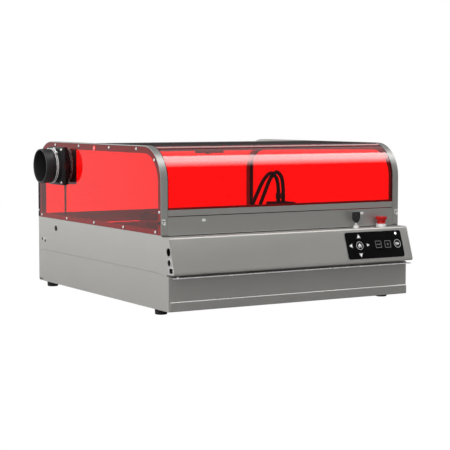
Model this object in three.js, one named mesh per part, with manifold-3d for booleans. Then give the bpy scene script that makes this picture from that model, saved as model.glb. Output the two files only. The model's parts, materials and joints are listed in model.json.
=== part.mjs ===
// Desktop laser cutter: a sheet-metal base with a sloping console, two bent arches that hold red
// acrylic windows, a hinged front lid, a pull-out tray and a belt-driven gantry inside.
// Millimetres, +Z up, front towards -Y. The working frame below has X = 0 on the centre plane,
// Y = 0 on the lower front panel and Z = 0 on the table; the last group moves that frame so the
// origin is the bottom centre of the whole object's box.
import * as THREE from 'three';
import { mergeVertices } from 'three/addons/utils/BufferGeometryUtils.js';
import Module from 'manifold-3d';

const wasm = await Module();
wasm.setup();

// ---- Driving dimensions ------------------------------------------------------------------
const WIDTH = 569;
const DEPTH = 622.7;
const HEIGHT = 328.5;
const HALF = WIDTH / 2;
const SHEET = 1.5;
const ACRYLIC = 3;
const GAP = 0.3;

const BASE_BOTTOM = 12;
const SEAM_Z = 83.5;
const BASE_TOP = 157;
const BASE_CHAMFER = 3;
const JOG = 3.2;
const CHEEK_BACK = 24;

const ARCH_FRONT = 29.4;
const ARCH_WIDTH = 14.4;
const ARCH_RADIUS = 70.8;
const ARCH_FLANGE = 15;
const ARCH_STEPS = 10;
const SIDE_SILL = 167;
const REAR_SILL = 164.3;
const ARCH_INNER = HALF - ARCH_WIDTH;
const FLANGE_OUT = HALF - ACRYLIC - GAP;

const SLOPE = THREE.MathUtils.degToRad(18.95);
const SLOPE_LENGTH = 70.5;
const CONSOLE_TOP = 156;
const SLOPE_TOP = { y: -1.3, z: 152 };
const CONSOLE_UNDER = 84;
const CONSOLE_LIP = 76;
const SLOPE_FOOT = {
  y: SLOPE_TOP.y - SLOPE_LENGTH * Math.sin(SLOPE),
  z: SLOPE_TOP.z - SLOPE_LENGTH * Math.cos(SLOPE),
};

const VENT = { starts: [-210, 98], count: 8, pitch: 16, width: 5, bottom: 52, top: 88 };
const FRONT_PANEL = { bottom: 31.6, top: 77.2, flangeReach: 18 };
const PLATE_TOP = 192;

const LID = { bottom: 193.5, railTop: 205.1, backing: 209.5, windowEnd: 297, halfWidth: 269.4 };
const HINGE = { y: 324.9, z: 318.5, rod: 3, bore: 3.08, nose: 9.6, head: 5 };
const REAR_TOP = 321.7;
const CROSSBAR = { front: 336, back: 352, ledgeEnd: 370, bottom: 314.5, top: HEIGHT - GAP };

const DUCT = { y: 512.7, z: 275.9, plate: 83, plateThick: 7.2, outer: 37.5, inner: 34, reach: 43 };
const FAN = { size: 80, depth: 25, bore: 38, hub: 16, blades: 7 };
const CABLE = { x: -276.5, radius: 2, low: 105, drop: DUCT.y - 25.2 };

const RAIL = { inner: 242, outer: 262, bottom: 128, top: 148, front: 46, back: 580 };
const BELT = { near: 264, far: 270, z: 138, pulley: 6.3, thick: 0.9, frontY: 60, backY: 592 };
const SHAFT_RADIUS = 2.5;
const MOTOR = 42;
const X_MOTOR = 208;

const BEAM = { y0: 178, y1: 198, z0: 152, z1: 172, half: 232 };
const HEAD = { x0: 40, x1: 84, y0: 118, y1: 168.7, z0: 78, z1: 205, tip: 62 };
const CARRIAGE = { x0: 30, x1: 94, skin: 4.5, clear: 0.4 };

// Hose loops between the carriage's bracket and the top of the laser module.
const HOSES = {
  hose_air: { bracketX: -12, moduleX: 57.5, top: 266, y: 146.1 },
  hose_power: { bracketX: 13, moduleX: 74.5, top: 267.5, y: 153.9 },
};
const HOSE_RADIUS = 3.7;

const TRAY = {
  lipTop: 31, lipBottom: 12.4, lipDepth: 3.6, floor: 14.2, wallTop: 29.5, half: 279, back: 600,
};
const BED = { half: 216, front: 40, back: 560, bottom: 16.1, top: 30.4, thick: 2 };
const FOOT = { radius: 12.5, x: 267.2, front: 63.2, back: 586 };

const OVERLAY = { x0: 121.8, x1: 264.4, y0: -61.9, y1: -5.4, corner: 4, thick: 1 };
const ESTOP = { x: 230, y: 15 };
const LOCK = { x: 165, y: 15 };

// Keypad keys on the sloping face: x along the machine, y up the slope from its top edge.
const ROUND_KEYS = {
  pad_up: [155, -15, 6.8],
  pad_left: [132.6, -33.5, 6.8],
  pad_home: [154.2, -34, 10.3],
  pad_right: [175.5, -33.5, 6.8],
  pad_down: [153.4, -53.5, 6.8],
  pad_start: [250.7, -33.8, 10.3],
};
const SQUARE_KEYS = { pad_frame: [202, -33.5, 9.5], pad_laser: [225.8, -33.9, 9.5] };

// Sockets in the left end of the console: y, z and size.
const BIG_PORT = [0.6, 127.4, 8];
const SMALL_PORT = [-3.4, 107.2, 6.5];
const FLAT_PORT = [-10.6, 91.3, 15, 8.8];

// ---- Materials ---------------------------------------------------------------------------
const finish = (color, roughness, metalness) => () =>
  new THREE.MeshStandardMaterial({ color, roughness, metalness });
const paint = finish(0xa8a8a2, 0.5, 0.4);
const darkPaint = finish(0x74746e, 0.5, 0.4);
const blackPlastic = finish(0x17171a, 0.5, 0);
const rubber = finish(0x151515, 0.85, 0);
const steel = finish(0xc9c9cc, 0.3, 1);
const aluminium = finish(0xb4b6b8, 0.4, 1);
const redPlastic = finish(0xc81414, 0.35, 0);
const board = finish(0x14502c, 0.5, 0.1);
const acrylic = () => new THREE.MeshStandardMaterial({
  color: 0xff1010, roughness: 0.05, metalness: 0, transparent: true, opacity: 0.5,
});

// ---- Solids ------------------------------------------------------------------------------
function solid(geometry) {
  const bare = geometry.clone();
  bare.deleteAttribute('normal');
  bare.deleteAttribute('uv');
  const merged = mergeVertices(bare, 1e-4);
  return new wasm.Manifold(new wasm.Mesh({
    numProp: 3,
    vertProperties: new Float32Array(merged.attributes.position.array),
    triVerts: new Uint32Array(merged.index.array),
  }));
}

function geometryOf(manifold) {
  const mesh = manifold.getMesh();
  const geometry = new THREE.BufferGeometry();
  geometry.setAttribute('position', new THREE.BufferAttribute(mesh.vertProperties, 3));
  geometry.setIndex(new THREE.BufferAttribute(mesh.triVerts, 1));
  return geometry;
}

const join = (...parts) =>
  geometryOf(parts.map(solid).reduce((whole, part) => whole.add(part)));

const cut = (body, ...tools) =>
  geometryOf(tools.map(solid).reduce((rest, tool) => rest.subtract(tool), solid(body)));

// ---- Outlines and extrusions ---------------------------------------------------------------
function arc(cu, cv, radius, from, to, steps) {
  return Array.from({ length: steps + 1 }, (_, i) => {
    const angle = THREE.MathUtils.degToRad(from + ((to - from) * i) / steps);
    return [cu + radius * Math.cos(angle), cv + radius * Math.sin(angle)];
  });
}

const circle = (cu, cv, radius, sides = 24) => arc(cu, cv, radius, 0, 360, sides).slice(0, -1);

function roundedRectangle(u0, u1, v0, v1, radius, steps = 3) {
  return [
    ...arc(u1 - radius, v0 + radius, radius, -90, 0, steps),
    ...arc(u1 - radius, v1 - radius, radius, 0, 90, steps),
    ...arc(u0 + radius, v1 - radius, radius, 90, 180, steps),
    ...arc(u0 + radius, v0 + radius, radius, 180, 270, steps),
  ];
}

const rectangle = (u0, u1, v0, v1) => [[u0, v0], [u1, v0], [u1, v1], [u0, v1]];

function prism(points, depth) {
  const shape = new THREE.Shape(points.map(([u, v]) => new THREE.Vector2(u, v)));
  return new THREE.ExtrudeGeometry(shape, { depth, bevelEnabled: false });
}

// Holes are cut with prisms that stand 1 mm proud at both ends.
function extrude(points, depth, holes) {
  const body = prism(points, depth);
  const tools = holes.map((hole) => prism(hole, depth + 2).translate(0, 0, -1));
  return tools.length > 0 ? cut(body, ...tools) : body;
}

// Outline in (y, z), extruded between two x values.
function alongX(points, xa, xb, holes = []) {
  const turn = new THREE.Matrix4().makeBasis(
    new THREE.Vector3(0, 1, 0), new THREE.Vector3(0, 0, 1), new THREE.Vector3(1, 0, 0));
  turn.setPosition(Math.min(xa, xb), 0, 0);
  return extrude(points, Math.abs(xb - xa), holes).applyMatrix4(turn);
}

// Outline in (x, z), extruded between two y values.
function alongY(points, ya, yb, holes = []) {
  const geometry = extrude(points, Math.abs(yb - ya), holes);
  return geometry.rotateX(Math.PI / 2).translate(0, Math.max(ya, yb), 0);
}

// Outline in (x, y), extruded between two z values.
const alongZ = (points, za, zb, holes = []) =>
  extrude(points, Math.abs(zb - za), holes).translate(0, 0, Math.min(za, zb));

function box(xa, xb, ya, yb, za, zb) {
  const geometry = new THREE.BoxGeometry(Math.abs(xb - xa), Math.abs(yb - ya), Math.abs(zb - za));
  return geometry.translate((xa + xb) / 2, (ya + yb) / 2, (za + zb) / 2);
}

// Profile of [radius, z] pairs, upwards on the outside, turned about the Z axis.
function turned(profile, sides = 20) {
  const points = profile.map(([radius, z]) => new THREE.Vector2(radius, z));
  return new THREE.LatheGeometry(points, sides).rotateX(Math.PI / 2);
}

// Closed outline of a bent sheet: a line of bend points and the same line offset to its left.
function sheet(line, thickness = SHEET) {
  const left = (a, b) => {
    const length = Math.hypot(b[0] - a[0], b[1] - a[1]);
    return [(a[1] - b[1]) / length, (b[0] - a[0]) / length];
  };
  const offset = line.map((point, i) => {
    const before = i > 0 ? left(line[i - 1], point) : left(point, line[1]);
    const after = i < line.length - 1 ? left(point, line[i + 1]) : before;
    const mitre = thickness / (1 + before[0] * after[0] + before[1] * after[1]);
    return [point[0] + (before[0] + after[0]) * mitre, point[1] + (before[1] + after[1]) * mitre];
  });
  return [...line, ...offset.reverse()];
}

function tube(points, radius, steps, sides = 8) {
  const bends = points.map((point) => new THREE.Vector3(...point));
  const path = new THREE.CatmullRomCurve3(bends, false, 'centripetal');
  const round = circle(0, 0, radius, sides).map(([u, v]) => new THREE.Vector2(u, v));
  const section = new THREE.Shape(round);
  return new THREE.ExtrudeGeometry(section, { steps, bevelEnabled: false, extrudePath: path });
}

function mesh(name, geometry, material) {
  const node = new THREE.Mesh(geometry, material());
  node.name = name;
  return node;
}

function group(...children) {
  const holder = new THREE.Group();
  holder.add(...children);
  return holder;
}

const placed = (holder, x, y, z) => {
  holder.position.set(x, y, z);
  return holder;
};

// ---- Hoop: the outline that arches and windows follow, inset by a distance -------------------
const frontCorner = (inset) =>
  arc(ARCH_FRONT + ARCH_RADIUS, HEIGHT - ARCH_RADIUS, ARCH_RADIUS - inset, 180, 90, ARCH_STEPS);
const rearCorner = (inset) =>
  arc(DEPTH - ARCH_RADIUS, HEIGHT - ARCH_RADIUS, ARCH_RADIUS - inset, 90, 0, ARCH_STEPS);

const hoop = (inset, bottom) => [
  [ARCH_FRONT + inset, bottom],
  ...frontCorner(inset),
  ...rearCorner(inset),
  [DEPTH - inset, bottom],
];
const hoopFront = (inset, bottom, end) => [
  [ARCH_FRONT + inset, bottom],
  ...frontCorner(inset),
  [end, HEIGHT - inset],
];
const hoopRear = (inset, start, bottom) => [
  [start, HEIGHT - inset],
  ...rearCorner(inset),
  [DEPTH - inset, bottom],
];

// ---- Base --------------------------------------------------------------------------------
const cheekOutline = () => [
  [CHEEK_BACK, SEAM_Z + GAP - JOG],
  [8, SEAM_Z + GAP - JOG],
  [5, CONSOLE_UNDER],
  [SLOPE_FOOT.y + 2, CONSOLE_UNDER],
  [SLOPE_FOOT.y, SLOPE_FOOT.z],
  [SLOPE_TOP.y, SLOPE_TOP.z],
  [-0.2, 154.8],
  [2.6, CONSOLE_TOP],
  [CHEEK_BACK, CONSOLE_TOP],
];

const upperSideOutline = () => [
  [ARCH_FRONT, CONSOLE_TOP],
  [ARCH_FRONT, BASE_TOP],
  [DEPTH, BASE_TOP],
  [DEPTH, SEAM_Z + GAP - JOG],
  [DEPTH - 12, SEAM_Z + GAP - JOG],
  [DEPTH - 15, SEAM_Z + GAP],
  [36, SEAM_Z + GAP],
  [33, SEAM_Z + GAP - JOG],
];

// On the left the cheek with the sockets is a piece of its own.
function sidePanel(side) {
  const start = CHEEK_BACK + GAP;
  const front = side < 0
    ? [[start, SEAM_Z + GAP - JOG], [start, CONSOLE_TOP]]
    : cheekOutline().slice(1, -1);
  const name = side < 0 ? 'side_panel_left' : 'side_panel_right';
  const outline = [...front, ...upperSideOutline()];
  return mesh(name, alongX(outline, side * (HALF - SHEET), side * HALF), paint);
}

function lowerSide(side) {
  const outline = [
    [0, BASE_BOTTOM],
    [DEPTH - BASE_CHAMFER, BASE_BOTTOM],
    [DEPTH, BASE_BOTTOM + BASE_CHAMFER],
    [DEPTH, SEAM_Z - JOG],
    [DEPTH - 12 - GAP, SEAM_Z - JOG],
    [DEPTH - 15 - GAP, SEAM_Z],
    [36 + GAP, SEAM_Z],
    [33 + GAP, SEAM_Z - JOG],
    [0, SEAM_Z - JOG],
  ];
  const wall = alongX(outline, side * (HALF - SHEET), side * HALF);
  const flange = box(side * 250, side * (HALF - 1), 2, DEPTH - 12, BASE_BOTTOM, BASE_BOTTOM + SHEET);
  return mesh(side < 0 ? 'lower_side_left' : 'lower_side_right', join(wall, flange), paint);
}

function frontLowerPanel() {
  const profile = [
    [0, FRONT_PANEL.bottom],
    [SHEET, FRONT_PANEL.bottom],
    [SHEET, FRONT_PANEL.top + SHEET],
    [-FRONT_PANEL.flangeReach, FRONT_PANEL.top + SHEET],
    [-FRONT_PANEL.flangeReach, FRONT_PANEL.top],
    [0, FRONT_PANEL.top],
  ];
  const half = HALF - SHEET - GAP;
  return mesh('front_lower_panel', alongX(profile, -half, half), darkPaint);
}

function consoleCover() {
  const outer = [
    [ARCH_FRONT - GAP, CONSOLE_TOP],
    [2.6, CONSOLE_TOP],
    [-0.2, 154.8],
    [SLOPE_TOP.y, SLOPE_TOP.z],
    [SLOPE_FOOT.y, SLOPE_FOOT.z],
    [SLOPE_FOOT.y + 2, CONSOLE_UNDER],
    [4, CONSOLE_UNDER],
    [4, CONSOLE_LIP],
  ];
  const half = HALF - SHEET - GAP;
  const shell = alongX(sheet(outer), -half, half);
  const keypadWindow = onSlope(box(125, 262, -60.9, -7.4, -4, 2));
  const estopHole = turned([[0, 150], [8.25, 150], [8.25, 160], [0, 160]]).translate(ESTOP.x, ESTOP.y, 0);
  const lockHole = turned([[0, 150], [5.4, 150], [5.4, 160], [0, 160]]).translate(LOCK.x, LOCK.y, 0);
  return mesh('console_cover', cut(shell, keypadWindow, estopHole, lockHole), paint);
}

function frontUpperPlate() {
  const low = HALF - SHEET - GAP;
  const high = ARCH_INNER - 0.4;
  const outline = [
    [-low, CONSOLE_UNDER + 2],
    [low, CONSOLE_UNDER + 2],
    [low, BASE_TOP - GAP],
    [high, BASE_TOP - GAP],
    [high, PLATE_TOP],
    [-high, PLATE_TOP],
    [-high, BASE_TOP - GAP],
    [-low, BASE_TOP - GAP],
  ];
  const cableHole = circle(CABLE.x, CABLE.low, CABLE.radius + 1, 12);
  const plate = alongY(outline, ARCH_FRONT, ARCH_FRONT + SHEET, [cableHole]);
  const flange = box(-high, high, ARCH_FRONT + 0.5, ARCH_FRONT + 12, PLATE_TOP - SHEET, PLATE_TOP);
  return mesh('front_upper_plate', join(plate, flange), darkPaint);
}

function rearPanel() {
  const half = HALF - SHEET - GAP;
  const slots = [];
  for (const start of VENT.starts) {
    for (let i = 0; i < VENT.count; i += 1) {
      const x = start + i * VENT.pitch;
      slots.push(box(x, x + VENT.width, DEPTH - 5, DEPTH + 5, VENT.bottom, VENT.top));
    }
  }
  const wall = cut(box(-half, half, DEPTH - SHEET, DEPTH, BASE_BOTTOM + 11, BASE_TOP - GAP), ...slots);
  const inner = DEPTH - ACRYLIC - GAP;
  const step = [
    [DEPTH - 0.5, BASE_TOP - GAP],
    [inner, BASE_TOP - GAP],
    [inner, REAR_SILL],
    [inner - SHEET, REAR_SILL],
    [inner - SHEET, BASE_TOP - GAP - SHEET],
    [DEPTH - 0.5, BASE_TOP - GAP - SHEET],
  ];
  const flange = alongX(step, -ARCH_INNER + 0.6, ARCH_INNER - 0.6);
  return mesh('rear_panel', join(wall, flange), paint);
}

const foot = (name, x, y) => mesh(name, turned([
  [0, 0], [FOOT.radius - 1.5, 0], [FOOT.radius - 0.5, 1], [FOOT.radius, BASE_BOTTOM - GAP],
  [0, BASE_BOTTOM - GAP],
]).translate(x, y, 0), rubber);

function base() {
  return group(
    sidePanel(-1), sidePanel(1), lowerSide(-1), lowerSide(1),
    frontLowerPanel(), consoleCover(), frontUpperPlate(), rearPanel(),
    foot('foot_front_left', -FOOT.x, FOOT.front), foot('foot_front_right', FOOT.x, FOOT.front),
    foot('foot_rear_left', -FOOT.x, FOOT.back), foot('foot_rear_right', FOOT.x, FOOT.back));
}

// ---- Arches and fixed windows ----------------------------------------------------------------
function arch(side) {
  const bottom = BASE_TOP + GAP;
  const web = alongX(
    [...hoop(0, bottom), ...hoop(SHEET, bottom).reverse()], side * ARCH_INNER, side * HALF);
  const pivot = circle(HINGE.y, HINGE.z, HINGE.rod + GAP, 16);
  const outerFlange = alongX(
    hoop(0.7, bottom), side * FLANGE_OUT, side * (FLANGE_OUT - SHEET),
    [hoop(ARCH_FLANGE, SIDE_SILL), pivot]);
  const innerFlange = alongX(
    [...hoop(0.7, bottom), ...hoop(ARCH_FLANGE, bottom).reverse()],
    side * ARCH_INNER, side * (ARCH_INNER + SHEET), [pivot]);
  const whole = join(web, outerFlange, innerFlange);
  if (side > 0) {
    return mesh('arch_right', whole, darkPaint);
  }
  const fanNotch = box(-HALF + 2, -ARCH_INNER + 1, DUCT.y - 42, DUCT.y + 42, DUCT.z, DUCT.z + 41.6);
  return mesh('arch_left', cut(whole, fanNotch), darkPaint);
}

function sideWindow(side) {
  const holes = [circle(HINGE.y, HINGE.z, HINGE.head + 0.5, 16)];
  if (side < 0) {
    holes.push(circle(DUCT.y, DUCT.z, 39.5, 32));
  }
  const pane = alongX(hoop(SHEET + GAP, BASE_TOP + GAP), side * (HALF - ACRYLIC), side * HALF, holes);
  return mesh(side < 0 ? 'side_window_left' : 'side_window_right', pane, acrylic);
}

function rearWindow() {
  const start = CROSSBAR.back + GAP;
  const bottom = BASE_TOP + 0.2;
  const squash = (REAR_TOP - bottom) / (HEIGHT - GAP - bottom);
  const outline = [
    ...hoopRear(GAP, start, bottom), ...hoopRear(ACRYLIC, start, bottom).reverse(),
  ].map(([y, z]) => [y, bottom + (z - bottom) * squash]);
  return mesh('rear_window', alongX(outline, -ARCH_INNER + 0.4, ARCH_INNER - 0.4), acrylic);
}

function crossbar() {
  const { front, back, ledgeEnd, bottom, top } = CROSSBAR;
  const ledge = REAR_TOP - ACRYLIC - GAP;
  const line = [
    [front, bottom],
    [front, top],
    [back, top],
    [back, ledge],
    [ledgeEnd, ledge],
    [ledgeEnd, ledge - SHEET],
    [back - SHEET, ledge - SHEET],
    [back - SHEET, top - SHEET],
    [front + SHEET, top - SHEET],
    [front + SHEET, bottom],
  ];
  return mesh('mid_crossbar', alongX(line, -ARCH_INNER + 0.4, ARCH_INNER - 0.4), darkPaint);
}

function cameraModule() {
  const body = box(-30, 37, CROSSBAR.front + 2, CROSSBAR.back - 2.5, 307.5, 326);
  const lens = turned([[0, 305], [5, 305], [6, 308.5], [0, 308.5]], 16)
    .translate(0, (CROSSBAR.front + CROSSBAR.back) / 2 - 0.2, 0);
  return mesh('camera_module', join(body, lens), darkPaint);
}

function hingeRod() {
  const rod = alongX(circle(HINGE.y, HINGE.z, HINGE.rod), -HALF + 1, HALF - 1);
  const heads = [-1, 1].map((side) => alongX(
    circle(HINGE.y, HINGE.z, HINGE.head, 16), side * (FLANGE_OUT + GAP), side * (HALF - GAP)));
  return mesh('hinge_rod', join(rod, ...heads), steel);
}

function enclosure() {
  return group(arch(-1), arch(1), sideWindow(-1), sideWindow(1), rearWindow(),
    crossbar(), cameraModule(), hingeRod());
}

// ---- Exhaust: duct outside the left window, fan inside it ------------------------------------
function exhaustDuct() {
  const { y, z, plate, plateThick, outer, inner, reach } = DUCT;
  const face = HALF + GAP;
  const square = roundedRectangle(y - plate / 2, y + plate / 2, z - plate / 2, z + plate / 2, 4);
  const flange = alongX(square, -face - plateThick, -face, [circle(y, z, inner, 32)]);
  const pipe = alongX(
    circle(y, z, outer, 32), -HALF - reach, -face - plateThick + 1, [circle(y, z, inner, 32)]);
  return mesh('exhaust_duct', join(flange, pipe), blackPlastic);
}

function hoseClamp() {
  const { y, z, outer } = DUCT;
  const band = alongX(
    circle(y, z, outer + 1.5, 32), -HALF - 20, -HALF - 13, [circle(y, z, outer + GAP, 32)]);
  const housing = box(-HALF - 21, -HALF - 12, y - 22, y - 10, z + outer - 2.5, z + outer + 4.5);
  const bore = alongX(circle(y, z, outer + GAP, 32), -HALF - 30, -HALF - 5);
  return mesh('hose_clamp', join(band, cut(housing, bore)), steel);
}

function fanFrame() {
  const { y, z } = DUCT;
  const near = FLANGE_OUT + GAP - 0.6;
  const far = near - FAN.depth;
  const half = FAN.size / 2;
  const square = roundedRectangle(y - half, y + half, z - half, z + half, 5);
  const ring = alongX(square, -near, -far, [circle(y, z, FAN.bore, 32)]);
  const hub = alongX(circle(y, z, FAN.hub + 1, 20), -far - 2, -far);
  const strut = (angle) => {
    const bar = box(-far - 2, -far, -FAN.bore - 1, FAN.bore + 1, -1.5, 1.5);
    return bar.rotateX(THREE.MathUtils.degToRad(angle)).translate(0, y, z);
  };
  return mesh('fan_frame', join(ring, hub, strut(45), strut(135)), blackPlastic);
}

function fanRotor() {
  const middle = -FLANGE_OUT + FAN.depth / 2 - 1;
  const hub = alongX(circle(0, 0, FAN.hub, 20), middle - 9, middle + 8);
  const blades = Array.from({ length: FAN.blades }, (_, i) => box(-0.8, 0.8, -7.5, 7.5, 15, 36)
    .rotateZ(THREE.MathUtils.degToRad(55))
    .translate(middle, 0, 0)
    .rotateX((2 * Math.PI * i) / FAN.blades));
  return placed(group(mesh('fan_rotor', join(hub, ...blades), blackPlastic)), 0, DUCT.y, DUCT.z);
}

function fanCable() {
  const { x, radius, low, drop } = CABLE;
  const route = [
    [x, drop, DUCT.z - FAN.size / 2 - 0.5], [x, drop, 200], [x, drop, 160], [x, drop, low + 20],
    [x, drop - 6, low + 6], [x, drop - 20, low], [x, drop - 60, low], [x, 360, low],
    [x, 250, low], [x, 150, low], [x, 70, low], [x, CHEEK_BACK + 0.5, low],
  ];
  return mesh('fan_cable', tube(route, radius, 34), rubber);
}

function exhaust() {
  return group(exhaustDuct(), hoseClamp(), fanFrame(), fanRotor(), fanCable());
}

// ---- Y axis: rails, belts, drive shaft and motor ----------------------------------------------
function yRail(side) {
  const { inner, outer, bottom, top, front, back } = RAIL;
  const x0 = side * inner;
  const x1 = side * outer;
  const middle = (x0 + x1) / 2;
  const profile = [
    [x0, bottom], [x1, bottom], [x1, top], [middle + side * 3, top], [middle + side * 3, top - 5],
    [middle - side * 3, top - 5], [middle - side * 3, top], [x0, top],
  ];
  const bar = alongY(profile, front, back);
  const brackets = [80, 320, 540].map((y) =>
    box(side * (HALF - SHEET - GAP), side * inner, y, y + 20, bottom - 6, bottom + 0.5));
  const bearing = alongX(
    roundedRectangle(back - 2, BELT.backY + 9, bottom, top, 3), side * (outer - 6), side * outer,
    [circle(BELT.backY, BELT.z, SHAFT_RADIUS + GAP, 16)]);
  const stud = alongX(
    circle(BELT.frontY, BELT.z, BELT.pulley - GAP, 20), side * (outer - 1), side * BELT.far);
  const name = side < 0 ? 'y_rail_left' : 'y_rail_right';
  return mesh(name, join(bar, ...brackets, bearing, stud), aluminium);
}

function beltOutline(radius) {
  const { frontY, backY, z } = BELT;
  return [...arc(frontY, z, radius, 270, 90, 8), ...arc(backY, z, radius, 90, -90, 8)];
}

function yBelt(side) {
  const inside = BELT.pulley + GAP;
  const loop = alongX(
    beltOutline(inside + BELT.thick), side * BELT.near, side * BELT.far, [beltOutline(inside)]);
  return mesh(side < 0 ? 'y_belt_left' : 'y_belt_right', loop, rubber);
}

function yDriveShaft() {
  const shaft = alongX(circle(0, 0, SHAFT_RADIUS, 16), -BELT.far - 1, BELT.far + 1);
  const pulleys = [-1, 1].map((side) => alongX(
    circle(0, 0, BELT.pulley - 0.1, 20), side * (BELT.near - 1), side * BELT.far));
  return placed(group(mesh('y_drive_shaft', join(shaft, ...pulleys), steel)), 0, BELT.backY, BELT.z);
}

function yMotor() {
  const half = MOTOR / 2;
  const { backY, z } = BELT;
  const body = alongX(
    roundedRectangle(backY - half, backY + half, z - half, z + half, 4, 1), -20, 20,
    [circle(backY, z, SHAFT_RADIUS + GAP, 16)]);
  const bracket = box(-24, 24, backY + half - 2, DEPTH - SHEET - GAP, z - half, z + 14);
  return mesh('y_motor', join(body, bracket), blackPlastic);
}

function yAxis() {
  return group(yRail(-1), yRail(1), yBelt(-1), yBelt(1), yDriveShaft(), yMotor());
}

// ---- Gantry, carriage and laser module ---------------------------------------------------------
function gantryTruck(side) {
  const saddle = box(side * 236, side * (RAIL.outer + 1), 150, 226, RAIL.top + 0.4, BEAM.z0 + 0.4);
  const lip = box(side * 236, side * (RAIL.inner - 0.6), 150, 226, RAIL.bottom + 4, BEAM.z0);
  const upright = box(side * 233, side * 240, 172, 204, BEAM.z0 - 6, BEAM.z1 + 2);
  const beltClamp = box(side * (RAIL.outer - 1), side * BELT.far, 172, 204,
    BELT.z + BELT.pulley + BELT.thick + 2 * GAP, BEAM.z0);
  const railGap = box(
    side * (RAIL.inner - 0.5), side * (RAIL.outer + 0.5), 100, 300, RAIL.bottom, RAIL.top + 0.4);
  const whole = cut(join(saddle, lip, upright, beltClamp), railGap);
  return mesh(side < 0 ? 'gantry_truck_left' : 'gantry_truck_right', whole, aluminium);
}

function gantryBeam() {
  const { y0, y1, z0, z1, half } = BEAM;
  const middle = (z0 + z1) / 2;
  const profile = [
    [y0, z0], [y1, z0], [y1, middle - 3], [y1 - 5, middle - 3], [y1 - 5, middle + 3], [y1, middle + 3],
    [y1, z1], [y0, z1],
  ];
  return mesh('gantry_beam', alongX(profile, -half, half), aluminium);
}

function xMotor() {
  const half = MOTOR / 2;
  const x = X_MOTOR;
  const z = (BEAM.z0 + BEAM.z1) / 2;
  const body = alongY(
    roundedRectangle(x - half, x + half, z - half, z + half, 4, 1), BEAM.y1 + GAP, BEAM.y1 + 38);
  return mesh('x_motor', body, blackPlastic);
}

function carriagePlate() {
  const { x0, x1, skin, clear } = CARRIAGE;
  const { y0, y1, z0, z1 } = BEAM;
  const middle = (x0 + x1) / 2;
  const face = box(x0, x1, y0 - skin, y0 - clear, z0 - 5, z1 + 5);
  const roof = box(x0, x1, y0 - skin, y1 + 4, z1 + clear, z1 + 5);
  const floor = box(x0, x1, y0 - skin, y1 + 4, z0 - 5, z0 - clear);
  const guide = box(middle - 5, middle + 5, HEAD.y1 + GAP, y0 - 4, z0 - 5, z1 + 5);
  const arm = box(-18, x0 + 2, 140, 160, z1 + 1.2, z1 + 5);
  const link = box(x0 - 10, x0 + 8, 158, y0 - 4, z1 + 1.2, z1 + 5);
  const sockets = Object.values(HOSES).map((route) =>
    turned([[0, 0], [5.5, 0], [5.5, 6], [0, 6]], 16).translate(route.bracketX, route.y, z1 + 4.5));
  return mesh('carriage_plate', join(face, roof, floor, guide, arm, link, ...sockets), blackPlastic);
}

function hose(name) {
  const { bracketX, moduleX, top, y } = HOSES[name];
  const span = moduleX - bracketX;
  const low = BEAM.z1 + 10.6 + GAP;
  const route = [
    [bracketX, y, low], [bracketX, y, low + 5], [bracketX + span * 0.25, y, low + 42],
    [bracketX + span * 0.52, y, top - 10], [bracketX + span * 0.74, y, top],
    [bracketX + span * 0.92, y, top - 10], [moduleX, y, top - 34], [moduleX, y, HEAD.z1 + 12],
    [moduleX, y, HEAD.z1 + 6 + GAP],
  ];
  return mesh(name, tube(route, HOSE_RADIUS, 22), rubber);
}

function laserModule() {
  const { x0, x1, y0, y1, z0, z1, tip } = HEAD;
  const x = (x0 + x1) / 2;
  const y = (y0 + y1) / 2;
  const body = alongZ(roundedRectangle(x0, x1, y0, y1, 3, 2), z0, z1);
  const fins = [];
  for (let z = 110; z < 185; z += 12) {
    fins.push(box(x0 - 1, x0 + 5, y0 + 6, y1 - 6, z, z + 7));
    fins.push(box(x1 + 1, x1 - 5, y0 + 6, y1 - 6, z, z + 7));
  }
  const nozzle = turned([[0, tip], [6, tip], [13, z0 + 1], [0, z0 + 1]], 20).translate(x, y, 0);
  const sockets = Object.values(HOSES).map((route) =>
    turned([[0, 0], [5, 0], [4, 6.5], [0, 6.5]], 16).translate(route.moduleX, route.y, z1 - 0.5));
  return mesh('laser_module', join(cut(body, ...fins), nozzle, ...sockets), blackPlastic);
}

function gantry() {
  const carriage = group(carriagePlate(), group(laserModule()), hose('hose_air'), hose('hose_power'));
  return group(gantryBeam(), gantryTruck(-1), gantryTruck(1), xMotor(), carriage);
}

// ---- Lid ---------------------------------------------------------------------------------
function lidWindow() {
  const bottom = LID.railTop + GAP;
  const outline = [
    ...hoopFront(0, bottom, LID.windowEnd), ...hoopFront(ACRYLIC, bottom, LID.windowEnd).reverse(),
  ];
  return mesh('lid_window', alongX(outline, -LID.halfWidth, LID.halfWidth), acrylic);
}

function lidBottomRail() {
  const front = ARCH_FRONT;
  const back = front + ACRYLIC + GAP;
  const profile = [
    [front, LID.bottom],
    [back + SHEET, LID.bottom],
    [back + SHEET, LID.backing],
    [back, LID.backing],
    [back, LID.bottom + SHEET],
    [front + SHEET, LID.bottom + SHEET],
    [front + SHEET, LID.railTop],
    [front, LID.railTop],
  ];
  return mesh('lid_bottom_rail', alongX(profile, -LID.halfWidth, LID.halfWidth), darkPaint);
}

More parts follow.
